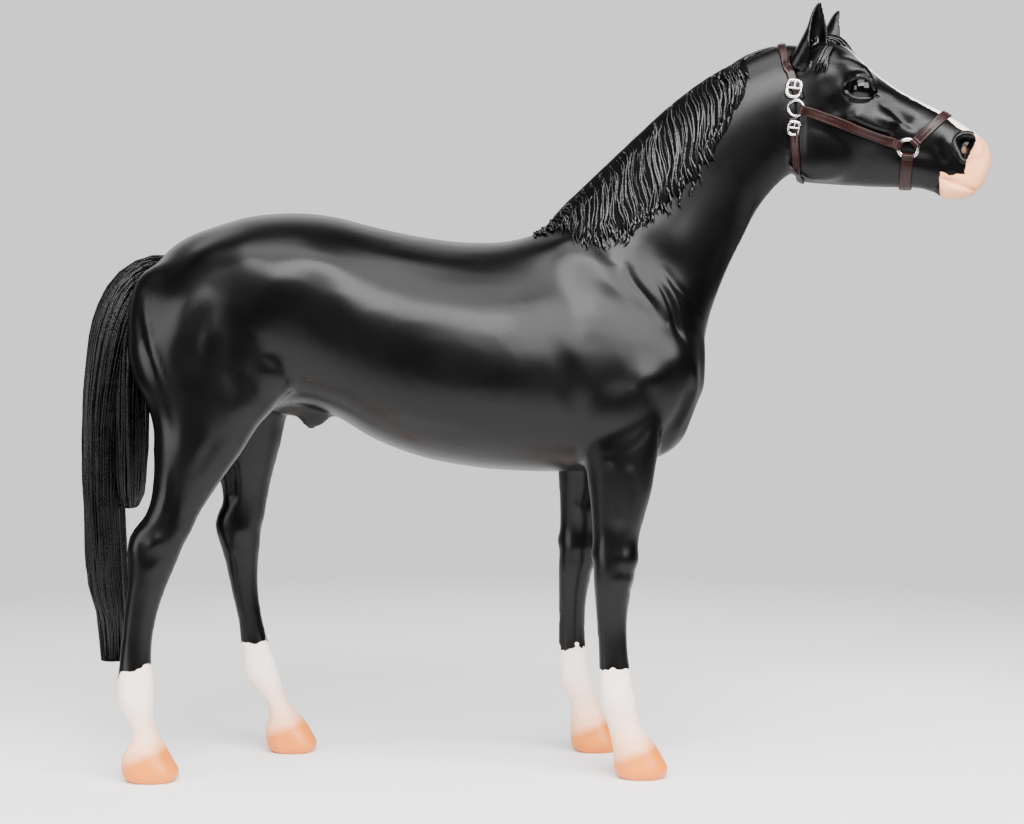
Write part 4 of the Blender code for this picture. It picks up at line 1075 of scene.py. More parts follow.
def makeEye(label, side):
    x, y, z = eyes["centre"]
    ball = newPiece("eyeball_" + label, bpy.ops.mesh.primitive_uv_sphere_add, segments=48, ring_count=32,
                    radius=eyes["radius"] * mm, rotation=(math.pi / 2, 0, 0))
    bpy.ops.object.transform_apply(location=False, rotation=True, scale=False)
    points = getPoints(ball)
    ahead, outwards, up = eyes["gaze"]
    gaze = unit(np.array([ahead, side * outwards, up]))
    ahead = points @ gaze / eyes["radius"]
    points = points * (1 + eyes["corneaRise"] * smoothStep(ahead, *eyes["corneaEdge"]))[:, None]
    setMark(ball, "fromPupil", np.degrees(np.arccos(np.clip(ahead, -1, 1))))
    setPoints(ball, fromHead(points + (x, side * y, z)))
    return smoothShade(ball)


eyePieces = {label: makeEye(label, side) for label, side in bothSides.items()}


# hair

def skinSurface():
    shape = bmesh.new()
    shape.from_mesh(skin.data)
    tree = BVHTree.FromBMesh(shape)
    shape.free()
    return tree


skinTree = skinSurface()


def skinHit(origin, direction):
    place, normal, _, _ = skinTree.ray_cast(Vector(origin) * mm, Vector(direction))
    if normal.dot(Vector(direction)) < 0:
        normal = -normal
    return np.array(place) / mm, np.array(normal)


def headHit(origin, direction):
    return skinHit(fromHead([origin])[0], headAxes @ Vector(direction))


# an unwrap of the body round its own long axis, for the roots of the locks
def bodyUnwrap(point):
    x, y, z = point
    spine = np.interp(x, [-115, 20, 80, 140], [135, 135, 192, 185])
    return 0.04 + 0.9 * (x + 130) / 275, 0.04 + 0.9 * (math.atan2(y, z - spine) / (2 * math.pi) + 0.5)


lockShape = {
    "sides": 5,
    "roundness": 1.35,
    "patch": 0.003,     # size of a lock's own place in the unwrap
    "rings": {"short": 17, "main": 24, "front": 16},    # of the mane and the two masses of the tail
}


def straightLock(rings):
    angles = roundAngles(lockShape["sides"])
    circle = np.cos(angles), np.sin(angles)
    lock = ringTube("lockModel", [np.stack([*circle, np.full(len(angles), k)], 1) for k in range(rings)])
    lock.data.uv_layers.new(name="OFBake")
    return lock


lockModels = {rings: straightLock(rings) for rings in lockShape["rings"].values()}
lockShare = np.linspace(0, 1, lockShape["rings"]["short"])


# the locks are modelled straight, each copy is then laid along its own path
def layLock(path, outwards, widths, heights, sink=0.35, roll=0.0):
    rings, columns = len(path), lockShape["sides"]
    across, up = unitSection(roundAngles(columns), lockShape["roundness"])
    up = np.where(up < 0, up * sink, up)
    tangent = unit(np.gradient(path, axis=0))
    normal = unit(outwards - (outwards * tangent).sum(1)[:, None] * tangent)
    side = np.cross(tangent, normal)
    cos, sin = math.cos(roll), math.sin(roll)
    normal, side = normal * cos + side * sin, side * cos - normal * sin
    points = (
        path[:, None, :] + side[:, None, :] * (widths[:, None] * across[None, :])[:, :, None]
        + normal[:, None, :] * (heights[:, None] * up[None, :])[:, :, None])
    lock = bpy.data.objects.new("lock", lockModels[rings].data.copy())
    bpy.context.scene.collection.objects.link(lock)
    setPoints(lock, points.reshape(-1, 3))
    u, v = bodyUnwrap(path[0])
    corners = np.empty(len(lock.data.loops), np.int32)
    lock.data.loops.foreach_get("vertex_index", corners)
    ring, spoke = corners // columns, corners % columns
    places = np.stack([u + lockShape["patch"] * spoke / columns, v + lockShape["patch"] * ring / rings], 1)
    lock.data.uv_layers["OFBake"].data.foreach_set("uv", places.ravel().astype(np.float32))
    return lock


# points and outward directions of a short lock, from a function of the share along it
def tracePath(step):
    places, out = zip(*(step(s) for s in lockShare))
    return np.array(places), np.array(out)


# thickens over its first share, then thins from the last to the tip
def taperTo(share, start, end):
    root, tip = smoothStep(share, -0.02, start), 1 - smoothStep(share, end, 1.0)
    return np.clip(root, 0.15, 1) * np.clip(tip, 0.04, 1)


mane = {
    # x along the crest, height of the crest, length that hangs on the right side, thickness
    "crest": [(5, 162.0, 4.0, 0.7), (12, 168.0, 12.5, 1.4), (20, 175.3, 21.0, 1.9), (26, 181.0, 28.0, 2.1),
              (34, 188.6, 33.0, 2.2), (44, 197.6, 34.5, 2.3), (52, 203.8, 33.0, 2.2), (58, 207.8, 29.0, 2.1),
              (62, 210.2, 22.0, 1.9), (67, 212.8, 16.5, 1.5), (69.5, 213.9, 11.0, 1.1),
              (71.5, 214.7, 4.0, 0.7)],
    "ends": (6.5, 68.5),
    "overCrest": 1.6,
    "base": {"rows": 13, "columns": 64, "length": 0.92, "from": 5, "over": 64.8, "wall": 0.5},
    # how many, where each starts and ends as shares of the hanging length, lift, half width
    "layers": [
        (46, (0.0, 0.03), (0.84, 0.98), 0.25, 0.4), (40, (0.0, 0.3), (0.55, 0.92), 0.5, 0.34),
        (44, (0.18, 0.5), (0.8, 0.99), 0.55, 0.34),
    ],
    "curls": 84,
    "curlShape": (0.2, 0.46),     # lift, half width
    "pollLocks": 7,
    "widths": (0.55, 0.8, 1.1, 1.55),
    "sway": 0.75,
    "swayLength": 16.0,
    # size and quickness of a lock's small waves along the neck and off it, and how far it rolls over
    "ripple": (0.26, 1.35),
    "flutter": (0.12, 2.1),
    "roll": 0.55,
}
crestLine = {"x": [23, 35, 47, 59, 71, 80], "y": [0, -0.4, -0.9, -1.5, -2.1, -2.5], "deep": 11.0}


def maneRow(x):
    table = np.array(mane["crest"])
    return [np.interp(x, table[:, 0], column) for column in table.T]


# over the crest first, then down the right side of the neck
def manePoint(x, crestZ, reach, lift):
    deep = crestLine["deep"]
    y = np.interp(x, crestLine["x"], crestLine["y"])
    turn = min(max(reach / deep, -0.3), math.pi / 2)
    drop = max(0.0, reach - deep * 1.13)
    place, normal = skinHit((x, y, crestZ - deep - drop), (0, -math.sin(turn), math.cos(turn)))
    return place + normal * lift, normal


# a thin sheet under the locks, with a ragged lower edge
def makeManeBase():
    base = mane["base"]
    rows, columns = base["rows"], base["columns"]
    sheet = newPiece("maneBase", bpy.ops.mesh.primitive_grid_add, x_subdivisions=rows - 1,
                     y_subdivisions=columns - 1, size=mm)
    points = []
    for column in range(columns):
        x, crestZ, hang, thick = maneRow(base["from"] + base["over"] * column / (columns - 1))
        ragged = base["length"] + 0.04 * math.sin(1.4 * column) + 0.02 * math.sin(3.6 * column)
        ends = math.sin(math.pi * column / (columns - 1)) ** 0.4
        for share in np.linspace(0, 1, rows):
            reach = share * (mane["overCrest"] + hang * ragged) - mane["overCrest"]
            edges = min(smoothStep(share, 0.0, 0.12), 1 - smoothStep(share, 0.84, 1.0), ends)
            lift = -0.55 + (0.5 + thick * 0.34) * edges
            points.append(manePoint(x + 1.6 * share, crestZ, reach, lift)[0])
    setPoints(sheet, points)
    applyModifier(sheet, "SOLIDIFY", thickness=base["wall"] * mm, offset=0)
    return smoothShade(flipOutwards(sheet))


# neighbouring locks wave together
def maneSway(x, reach, phase):
    slow = math.sin(2 * math.pi * (reach / mane["swayLength"] + x / 46) + 0.9 * math.sin(x / 7) + phase)
    return mane["sway"] * slow * smoothStep(reach, 0.5, 7.0)


def maneLock(x, crestZ, thick, start, end, lift, halfWidth, tip):
    phase, quick = rng.uniform(-1.0, 1.0), rng.uniform(0, 2 * math.pi)
    length = end - start
    lift *= 0.3 + 0.7 * smoothStep(x, 12, 36)    # flatter towards the withers
    (ripple, rippling), (flutter, fluttering) = mane["ripple"], mane["flutter"]

    def step(s):
        reach = start + length * s
        lean = maneSway(x, reach, phase) + ripple * math.sin(reach * rippling + quick)
        lean += tip * smoothStep(s, 0.7, 1.05)
        rise = thick * 0.2 + lift * min(1.0, 0.3 + 2.6 * s) - 0.32 * (1 - smoothStep(reach, -0.5, 2.5))
        rise += flutter * math.sin(reach * fluttering + quick)
        rise -= 0.25 * smoothStep(s, 0.75, 1.0) * (0.3 + lift)
        return manePoint(x + 0.04 * reach + lean, crestZ, reach, rise)

    path, out = tracePath(step)
    path[1:-1] = (path[:-2] + 2 * path[1:-1] + path[2:]) / 4
    wide = halfWidth * taperTo(lockShare, 0.14, 0.6)
    beads = 1 + 0.22 * np.sin(length * lockShare * 2.6 + quick)
    return layLock(path, out, wide, wide * 1.6 * beads, roll=rng.uniform(-mane["roll"], mane["roll"]))


# the foremost strands run back along the crest before they hang
def pollLock(side):
    def step(s):
        x = 79.0 - 1.0 * side - (12.0 + 2.0 * side) * smoothStep(s, 0, 0.8)
        reach = -0.6 + 1.6 * side + 1.0 * s + (12.0 - 7.0 * side) * smoothStep(s, 0.45, 1.0)
        crestZ = np.interp(x, [62, 66, 72, 82], [210.2, 212.3, 215.0, 217.6])
        lift = 0.05 + 0.4 * smoothStep(s, 0.1, 0.7)
        return manePoint(x + 0.2 * math.sin(9 * s + 4 * side), crestZ, reach, lift)

    wide = 0.4 * taperTo(lockShare, 0.35, 0.6)
    return layLock(*tracePath(step), wide, wide * 1.2)


def makeMane():
    locks = []
    low, high = mane["ends"]
    for count, starts, ends, lift, halfWidth in mane["layers"]:
        for number in range(count):
            place = (number + 0.5 + rng.uniform(-0.35, 0.35)) / count
            x, crestZ, hang, thick = maneRow(low + (high - low) * place)
            start = rng.uniform(*starts) * hang + 0.2 + 3.2 * (1 - smoothStep(x, 24, 46))
            end = max(rng.uniform(*ends) * hang, start + 3.0)
            wide = halfWidth * rng.choice(mane["widths"]) * min(1, 0.5 + hang / 20)
            locks.append(maneLock(x, crestZ, thick, start, end, lift, wide, rng.uniform(-0.7, 0.8)))
    for number in range(mane["curls"]):
        place = (number + rng.uniform(0.2, 0.8)) / mane["curls"]
        x, crestZ, hang, thick = maneRow(low + (high - low) * place)
        end = hang * rng.uniform(0.86, 1.02)
        start = max(end - rng.uniform(3.0, 7.0), 0.4 * hang)
        locks.append(maneLock(x, crestZ, thick, start, end, *mane["curlShape"], rng.uniform(-1.2, 1.2)))
    locks += [pollLock(number / (mane["pollLocks"] - 1)) for number in range(mane["pollLocks"])]
    return smoothShade(joinPieces("maneLocks", locks))


forelock = {"locks": 22, "width": 0.72, "sideLocks": 14, "sideWidth": 0.62, "length": (8.0, 15.0)}


# the middle locks run down the forehead, the side tuft runs round to the foot of the right ear
def forelockStep(side, spread, length, phase, s):
    if side:
        turn = math.radians(9 + 6 * spread + (68 - 6 * spread) * s)
        wave = 0.3 * math.sin(7 * s + phase)
        origin = (95.2 + 1.0 * spread - (5.2 - 2.6 * spread) * s + wave, -1.5, 204)
        ray = (0, -math.sin(turn), math.cos(turn))
        lift = 0.3 + 0.7 * math.sin(math.pi * min(1, 0.15 + 0.85 * s)) + 0.3 * math.sin(5 * s + phase)
    else:
        y = spread * (2.6 + 2.2 * math.sin(math.pi * min(1, 0.25 + s))) * (1 - 0.45 * s)
        origin, ray = (88.6 + length * s, y + 0.5 * math.sin(6 * s + phase) - 0.7 * s, 200), (0, 0, 1)
        lift = 0.3 + 1.0 * (1 - spread * spread) * math.sin(math.pi * min(1, 0.2 + 0.8 * s))
        lift += 0.22 * math.sin(7 * s + phase)
    point, normal = headHit(origin, ray)
    return point + normal * lift, normal


def makeForelock():
    locks = []
    middle, tuft = forelock["locks"], forelock["sideLocks"]
    for number in range(middle + tuft):
        side = number >= middle
        spread = (number - middle) / (tuft - 1) if side else (number + 0.5) / middle * 2 - 1
        length = rng.uniform(*forelock["length"]) * (1 - 0.25 * abs(spread))
        phase = rng.uniform(0, 2 * math.pi)
        wide = forelock["width"] * (forelock["sideWidth"] if side else 1) * rng.uniform(0.75, 1.2)
        wide = wide * taperTo(lockShare, 0.1, 0.55)
        path, out = tracePath(lambda s: forelockStep(side, spread, length, phase, s))
        locks.append(layLock(path, out, wide, wide * 1.15))
    return smoothShade(joinPieces("forelockLocks", locks))


# x and z of the middle, half depth, half width, tilt
tailMasses = {
    "main": {
        "line": [(-100.5, 151.2, 3.2, 3.8, -78), (-107.5, 149.6, 4.3, 5.2, -66),
                 (-114.2, 143.4, 6.0, 7.4, -36), (-118.6, 133.0, 6.6, 9.6, -15),
                 (-121.2, 119.6, 6.2, 11.0, -4), (-122.8, 104.0, 5.6, 11.6, 0),
                 (-123.0, 90.0, 5.4, 11.6, 0), (-123.0, 80.5, 5.2, 11.4, 0), (-122.8, 72.0, 5.2, 11.0, 0),
                 (-122.4, 60.0, 5.2, 10.2, 0), (-121.9, 52.5, 5.1, 9.4, 0), (-120.8, 47.6, 4.3, 8.8, 0),
                 (-120.5, 41.0, 4.4, 7.6, 0), (-120.5, 35.0, 4.5, 6.4, 0), (-120.5, 31.6, 4.4, 5.6, 0),
                 (-120.4, 29.0, 3.2, 3.6, 0)],
        # locks, size of their ring, half width
        "layers": [(62, 0.97, 0.6), (58, 1.02, 0.5), (30, 1.05, 0.36)],
    },
    "front": {
        "line": [(-108.0, 147.0, 2.0, 3.0, -60), (-112.8, 138.0, 4.0, 6.6, -20),
                 (-114.2, 128.0, 4.8, 8.6, -6),
                 (-114.7, 116.0, 4.9, 9.6, 0), (-114.8, 104.0, 4.7, 9.8, 0), (-115.0, 93.0, 4.3, 9.2, 0),
                 (-115.2, 84.5, 3.9, 8.0, 0), (-115.1, 79.5, 2.9, 5.8, 0), (-115.0, 77.2, 1.2, 2.4, 0)],
        "layers": [(36, 0.97, 0.6), (34, 1.02, 0.5)],
    },
}
tailCoreSize = {"size": 0.88, "rings": 48, "columns": 48, "end": 0.97, "flutes": 0.035}


def tailRing(line, share, size, angles):
    x, z, halfDepth, halfWidth, tilt = along(line, np.atleast_1d(share)).T
    lean = np.radians(tilt)
    lengthways = halfDepth * size * np.cos(angles)
    return np.stack([x + lengthways * np.cos(lean), halfWidth * size * np.sin(angles),
                     z + lengthways * np.sin(lean)], -1)


def tailCore(name):
    core = tailCoreSize
    angles = roundAngles(core["columns"])
    rings = []
    for share in np.linspace(0, core["end"], core["rings"]):
        flutes = 1 + core["flutes"] * np.sin(11 * angles + 1.2 * math.sin(6 * share)) * min(1, 4 * share)
        rings.append(tailRing(tailMasses[name]["line"], share, core["size"] * flutes, angles))
    return ringTube("tailCore_" + name, rings)


tailHair = {
    # shares of the mass where locks start and end, the rear of the long mass ends in a notch
    "start": (0.0, 0.12),
    "end": (0.91, 0.97),
    "notchEnd": (0.8, 0.87),
    "notchBehind": -0.45,
    "notchChance": 0.75,
    "drift": 0.12,
    "wander": (0.02, 0.07),
    "strays": (-0.04, 0.05),
    "widths": (0.65, 1.35),
}


def tailLocksOf(name):
    mass, hair = tailMasses[name], tailHair
    share = np.linspace(0, 1, lockShape["rings"][name])
    locks = []
    for count, size, halfWidth in mass["layers"]:
        for number in range(count):
            angle = 2 * math.pi * (number + rng.uniform(-0.3, 0.3)) / count
            start = rng.uniform(*hair["start"])
            inNotch = name == "main" and math.cos(angle) < hair["notchBehind"]
            inNotch = inNotch and rng.random() < hair["notchChance"]
            end = rng.uniform(*hair["notchEnd" if inNotch else "end"])
            drift, phase = rng.uniform(-hair["drift"], hair["drift"]), rng.uniform(0, 2 * math.pi)
            wander, strays = rng.uniform(*hair["wander"]), rng.uniform(*hair["strays"])
            at = start + (end - start) * share
            turned = angle + drift * share + wander * np.sin(7 * share + phase)
            swell = size + 0.014 * np.sin(19 * share + phase) + strays * smoothStep(share, 0.45, 1.0)
            path = tailRing(mass["line"], at, swell - 0.1 * smoothStep(share, 0.9, 1.0), turned)
            out = unit(path - tailRing(mass["line"], at, 0.3, turned))
            thin = np.interp(at, [0, 0.12, 0.5, 0.85, 1], [0.5, 0.8, 1.0, 0.9, 0.7])
            wide = halfWidth * rng.uniform(*hair["widths"]) * thin
            wide = wide * np.maximum(taperTo(share, 0.06, 0.93), 0.3)
            beads = 1 + 0.18 * np.sin(29 * share + phase)
            locks.append(layLock(path, out, wide, wide * 1.25 * beads, sink=0.6))
    return locks


maneBase = makeManeBase()
maneLocks = makeMane()
forelockLocks = makeForelock()
tailCorePiece = smoothShade(joinPieces("tailCore", [tailCore(name) for name in tailMasses]))
tailLocks = smoothShade(joinPieces("tailLocks", tailLocksOf("main") + tailLocksOf("front")))
for model in lockModels.values():
    bpy.data.objects.remove(model)
print("hair laid", sum(len(p.data.polygons) for p in (maneLocks, forelockLocks, tailLocks)))


# halter

straps = {
    "thick": 0.8,
    "lift": 0.1,
    # the (x, z) the rays leave from, pitch of the middle ray, reach to each side, width
    "bands": {
        "halter_crown": ((85.4, 203.2), 112, 112, 2.5), "halter_throat": ((85.0, 190.6), -85, 112, 2.5),
        "halter_noseband": ((118.2, 185.1), 44, 79, 2.9), "halter_chin": ((118.0, 185.1), -96, 81, 3.6),
    },
    "folded": ("halter_noseband", "halter_chin"),    # round a ring at each end
    "bandSteps": 91,
    "cheek": ((86.6, 197.0), (116.4, 185.8), 2.9),    # from, to, width
    "cheekSteps": 71,
    "smoothed": 4,    # times
    "foldRise": 1.15,
    "foldDip": 0.5,
}
# across the strap from -1 to 1, height above the skin: rounded edges with a pressed line inside each
strapSection = [(-1.0, 0.0), (-1.03, 0.45), (-0.92, 0.86), (-0.78, 0.96), (-0.66, 0.84), (-0.3, 0.97),
                (0.3, 0.97), (0.66, 0.84), (0.78, 0.96), (0.92, 0.86), (1.03, 0.45), (1.0, 0.0), (0.0, -0.4)]


# each end rises over the ring that it is folded round, then dips inside it
def endRise(count, reach):
    near = np.minimum(np.arange(count), np.arange(count)[::-1]) * reach / (count - 1)
    rise = straps["foldRise"] * smoothStep(near, 0.0, 0.6) * (1 - smoothStep(near, 1.7, 3.2))
    return rise - straps["foldDip"] * (1 - smoothStep(near, 0, 0.4))


# a strap through the places where rays out of the head meet the skin, edge is half of its width
def layStrap(name, starts, rays, edge, folded, length=None):
    middles, normals = [], []
    for start, ray in zip(starts, rays):
        hits = [headHit(start + edge * k, ray) for k in (-0.8, 0, 0.8)]
        normal = unit(hits[0][1] + hits[1][1] + hits[2][1])
        high = max((place - hits[1][0]).dot(normal) for place, _ in hits)
        middles.append(hits[1][0] + normal * max(high, 0))
        normals.append(normal)
    middles, normals = np.array(middles), np.array(normals)
    length = length or np.linalg.norm(np.diff(middles, axis=0), axis=1).sum()
    for _ in range(straps["smoothed"]):
        for run in (middles, normals):
            run[1:-1] = (run[:-2] + 2 * run[1:-1] + run[2:]) / 4
    if folded:
        middles = middles + normals * endRise(len(middles), length)[:, None]
    rings = []
    for middle, normal in zip(middles, normals):
        normal = unit(normal)
        flat = np.array(headAxes) @ edge
        flat = flat - flat.dot(normal) * normal
        rings.append([middle + flat * across + normal * (straps["lift"] + straps["thick"] * height)
                      for across, height in strapSection])
    return smoothShade(ringTube(name, rings))


def bandStrap(name):
    (x, z), pitch, reach, width = straps["bands"][name]
    pitch = math.radians(pitch)
    ahead = np.array([math.cos(pitch), 0, math.sin(pitch)])
    edge = np.array([-math.sin(pitch), 0, math.cos(pitch)]) * width / 2
    angles = np.radians(np.linspace(-reach, reach, straps["bandSteps"]))
    rays = [ahead * math.cos(angle) + np.array([0, math.sin(angle), 0]) for angle in angles]
    starts = [np.array([x, 0, z])] * len(rays)
    return layStrap(name + "_strap", starts, rays, edge, name in straps["folded"])


def cheekStrap(label, side):
    (x0, z0), (x1, z1), width = straps["cheek"]
    run = np.array([x1 - x0, 0, z1 - z0])
    edge = unit(np.array([-run[2], 0, run[0]])) * width / 2
    starts = [np.array([x0, 0, z0]) + run * share for share in np.linspace(0, 1, straps["cheekSteps"])]
    return layStrap("halter_cheek_strap_" + label, starts, [(0, side, 0)] * len(starts), edge, True,
                    np.linalg.norm(run))


loops = {
    # x, z, half length, half height, wire radius
    "halter_buckle_upper": (84.8, 202.8, 2.0, 2.45, 0.46),
    "halter_ring_upper": (85.6, 197.2, 2.2, 2.3, 0.46),
    "halter_buckle_lower": (84.8, 191.4, 1.6, 1.9, 0.4),
    "halter_ring_lower": (118.0, 185.3, 2.9, 2.6, 0.6),
}
# roundness, beading and height above the skin
loopLooks = {"buckle": (3.2, 0.12, straps["thick"] + 0.15), "ring": (2.0, 0.0, 0.75)}


# a bent wire frame that lies on the strap, buckles get a bar and a tongue
def metalLoop(kind, label, side):
    x, z, halfLength, halfHeight, wire = loops[kind]
    look = "buckle" if "buckle" in kind else "ring"
    roundness, beading, lift = loopLooks[look]
    place, normal = headHit((x, 0, z), (0, side, 0))
    up = np.array(headAxes @ Vector((0.12, 0, 1)))
    up = unit(up - up.dot(normal) * normal)
    ahead = np.cross(up, normal)
    centre = place + normal * lift
    wireFrame = newPiece("wire", bpy.ops.mesh.primitive_torus_add, major_segments=48, minor_segments=12,
                         major_radius=mm, minor_radius=wire * mm)
    points = getPoints(wireFrame)
    angles = np.arctan2(points[:, 1], points[:, 0])
    beads = 1 + beading * np.abs(np.sin(6 * angles))
    around = (np.hypot(points[:, 0], points[:, 1]) - 1) * beads
    across, upright = unitSection(angles, roundness)
    setPoints(wireFrame, centre + (across * (halfLength + around))[:, None] * ahead
              + (upright * (halfHeight + around))[:, None] * up + (points[:, 2] * beads)[:, None] * normal)
    pieces = [wireFrame]
    bars = [((-halfLength, 0.1), (halfLength, 0.1), 0.3), ((0.1, 0.1), (0.15, halfHeight * 1.02), 0.26)]
    for (a, b), (c, d), thick in bars if look == "buckle" else ():
        start = centre + ahead * a + up * b + normal * 0.2
        end = centre + ahead * c + up * d + normal * 0.2
        sideways = np.cross(unit(end - start), normal)
        pieces.append(ringTube("bar", [
            [start + (end - start) * t + (sideways * math.cos(k) + normal * math.sin(k)) * thick
             for k in roundAngles(10)] for t in np.linspace(0, 1, 9)]))
    return smoothShade(joinPieces(f"{kind}_metal_{label}", pieces))


strapPieces = {name: bandStrap(name) for name in straps["bands"]}
strapPieces.update({"halter_cheek_" + label: cheekStrap(label, side) for label, side in bothSides.items()})
metalPieces = {
    f"{kind}_{label}": metalLoop(kind, label, side) for kind in loops for label, side in bothSides.items()}
print("halter made")


# materials

# sets a node's sockets, or links them where another node's output is given
def fillSockets(tree, node, sockets):
    for key, value in sockets.items():
        if isinstance(value, bpy.types.NodeSocket):
            tree.links.new(value, node.inputs[key])
        else:
            node.inputs[key].default_value = (*value, 1) if isinstance(value, tuple) else value
    return node


def addNode(tree, kind, sockets=None, **settings):
    node = tree.nodes.new("ShaderNode" + kind)
    for key, value in settings.items():
        setattr(node, key, value)
    return fillSockets(tree, node, sockets or {})


def newGroup(name, inputs, outputs):
    group = bpy.data.node_groups.new(name, "ShaderNodeTree")
    for way, names in (("INPUT", inputs), ("OUTPUT", outputs)):
        for socket in names:
            group.interface.new_socket(socket, in_out=way, socket_type="NodeSocketFloat")
    return group, group.nodes.new("NodeGroupInput").outputs, group.nodes.new("NodeGroupOutput").inputs


# fine moulding grain: a mask of soft cloudy variation and a bump height
def grainGroup():
    group, given, result = newGroup("mouldingGrain", ("Cloud Scale", "Grain Scale"), ("Cloud", "Height"))
    place = addNode(group, "TexCoord").outputs["Object"]
    for scale, detail, output in (("Cloud Scale", 4, "Cloud"), ("Grain Scale", 3, "Height")):
        noise = addNode(group, "TexNoise", {"Vector": place, "Scale": given[scale], "Detail": detail})
        group.links.new(noise.outputs["Fac"], result[output])
    return group


# a painted edge: 1 where the mark's distance is below zero, made ragged by noise
def paintEdgeGroup():
    group, given, result = newGroup("paintedEdge", ("Distance", "Ragged", "Scale", "Softness"), ("Mask",))
    place = addNode(group, "TexCoord").outputs["Object"]
    noise = addNode(group, "TexNoise", {"Vector": place, "Scale": given["Scale"], "Detail": 2.5})
    centred = addNode(group, "Math", {0: noise.outputs["Fac"], 1: 0.5}, operation="SUBTRACT")
    shifted = addNode(group, "Math", {0: centred.outputs[0], 1: given["Ragged"], 2: given["Distance"]},
                      operation="MULTIPLY_ADD")
    negative = addNode(group, "Math", {0: given["Softness"], 1: -1}, operation="MULTIPLY")
    ramp = addNode(group, "MapRange", {
        "Value": shifted.outputs[0], "From Min": negative.outputs[0], "From Max": given["Softness"],
        "To Min": 1, "To Max": 0}, interpolation_type="SMOOTHSTEP")
    group.links.new(ramp.outputs["Result"], result["Mask"])
    return group


grain, paintedEdge = grainGroup(), paintEdgeGroup()


class Finish:
    def __init__(self, name, roughness, metallic=0.0, specular=0.5):
        self.material = bpy.data.materials.new(name)
        self.material.use_nodes = True
        self.tree = self.material.node_tree
        self.shader = self.tree.nodes["Principled BSDF"]
        self.feed({"Roughness": roughness, "Metallic": metallic, "Specular IOR Level": specular})

    def feed(self, sockets):
        fillSockets(self.tree, self.shader, sockets)

    def node(self, kind, sockets=None, **settings):
        return addNode(self.tree, kind, sockets, **settings)

    def value(self, name):
        return self.node("Attribute", attribute_name=name).outputs["Fac"]

    def mix(self, fac, first, second):
        return self.node("Mix", {0: fac, 6: first, 7: second}, data_type="RGBA").outputs[2]

    def spread(self, source, low, high, fromLow=0.3, fromHigh=0.7):
        return self.node("MapRange", {
            "Value": source, "From Min": fromLow, "From Max": fromHigh, "To Min": low, "To Max": high,
        }).outputs["Result"]

    def bump(self, height, strength, distance):
        node = self.node("Bump", {"Strength": strength, "Distance": distance * mm, "Height": height})
        self.feed({"Normal": node.outputs["Normal"]})

    # how cloudy the place is, with a bump of the fine grain
    def cloud(self, scales, bump=None):
        node = self.node("Group", dict(zip(("Cloud Scale", "Grain Scale"), scales)), node_tree=grain)
        if bump:
            self.bump(node.outputs["Height"], *bump)
        return node.outputs["Cloud"]

    def edge(self, mark, ragged, scale, softness):
        numbers = {"Distance": self.value(mark), "Ragged": ragged, "Scale": scale, "Softness": softness}
        return self.node("Group", numbers, node_tree=paintedEdge).outputs["Mask"]


coat = {
    "black": (0.0006, 0.0006, 0.0006), "blackWarm": (0.0016, 0.0013, 0.0012), "white": (0.86, 0.73, 0.66),
    "pink": (0.92, 0.48, 0.29), "muzzle": (0.93, 0.37, 0.16), "spot": (0.16, 0.085, 0.062),
    "hoof": (0.66, 0.155, 0.0), "hoofPale": (0.72, 0.195, 0.008),
    "iris": (0.0016, 0.0011, 0.0009), "irisRim": (0.0010, 0.0009, 0.0009),
    # raggedness, size and softness of the edges of each painted mark
    "edges": {"stocking": (7.6, 270.0, 0.1), "blaze": (1.4, 500.0, 0.16), "muzzle": (1.1, 620.0, 0.12),
              "spot": (0.6, 900.0, 0.25)},
}
hairTones = (0.0010, 0.0010, 0.0010), (0.0024, 0.0022, 0.0021)
strapTones = (0.006, 0.0013, 0.0010), (0.018, 0.0040, 0.0030)
metalTones = (0.55, 0.55, 0.55), (0.82, 0.82, 0.81)
# metallic, specular, roughness from and to, scales of cloud and grain, two tones, bump
cloudyLooks = {
    "glossyMane": (0.0, 0.4, (0.13, 0.30), (220.0, 1400.0), hairTones, (0.6, 0.22)),
    "blackTail": (0.0, 0.24, (0.21, 0.38), (220.0, 1400.0), hairTones, (0.6, 0.22)),
    "maneShadow": (0.0, 0.03, (0.55, 0.72), (220.0, 1400.0), hairTones, (0.6, 0.22)),
    "brownStrap": (0.0, 0.25, (0.26, 0.42), (260.0, 1500.0), strapTones, (0.3, 0.12)),
    "silverMetal": (1.0, 0.5, (0.2, None), (500.0, 1800.0), metalTones, (0.2, 0.1)),
}


def cloudyFinish(name):
    metallic, specular, (smooth, rough), scales, tones, bump = cloudyLooks[name]
    finish = Finish(name, smooth, metallic, specular)
    cloud = finish.cloud(scales, bump)
    finish.feed({"Base Color": finish.mix(finish.spread(cloud, 0.0, 1.0), *tones)})
    if rough:
        finish.feed({"Roughness": finish.spread(cloud, smooth, rough)})
    return finish.material


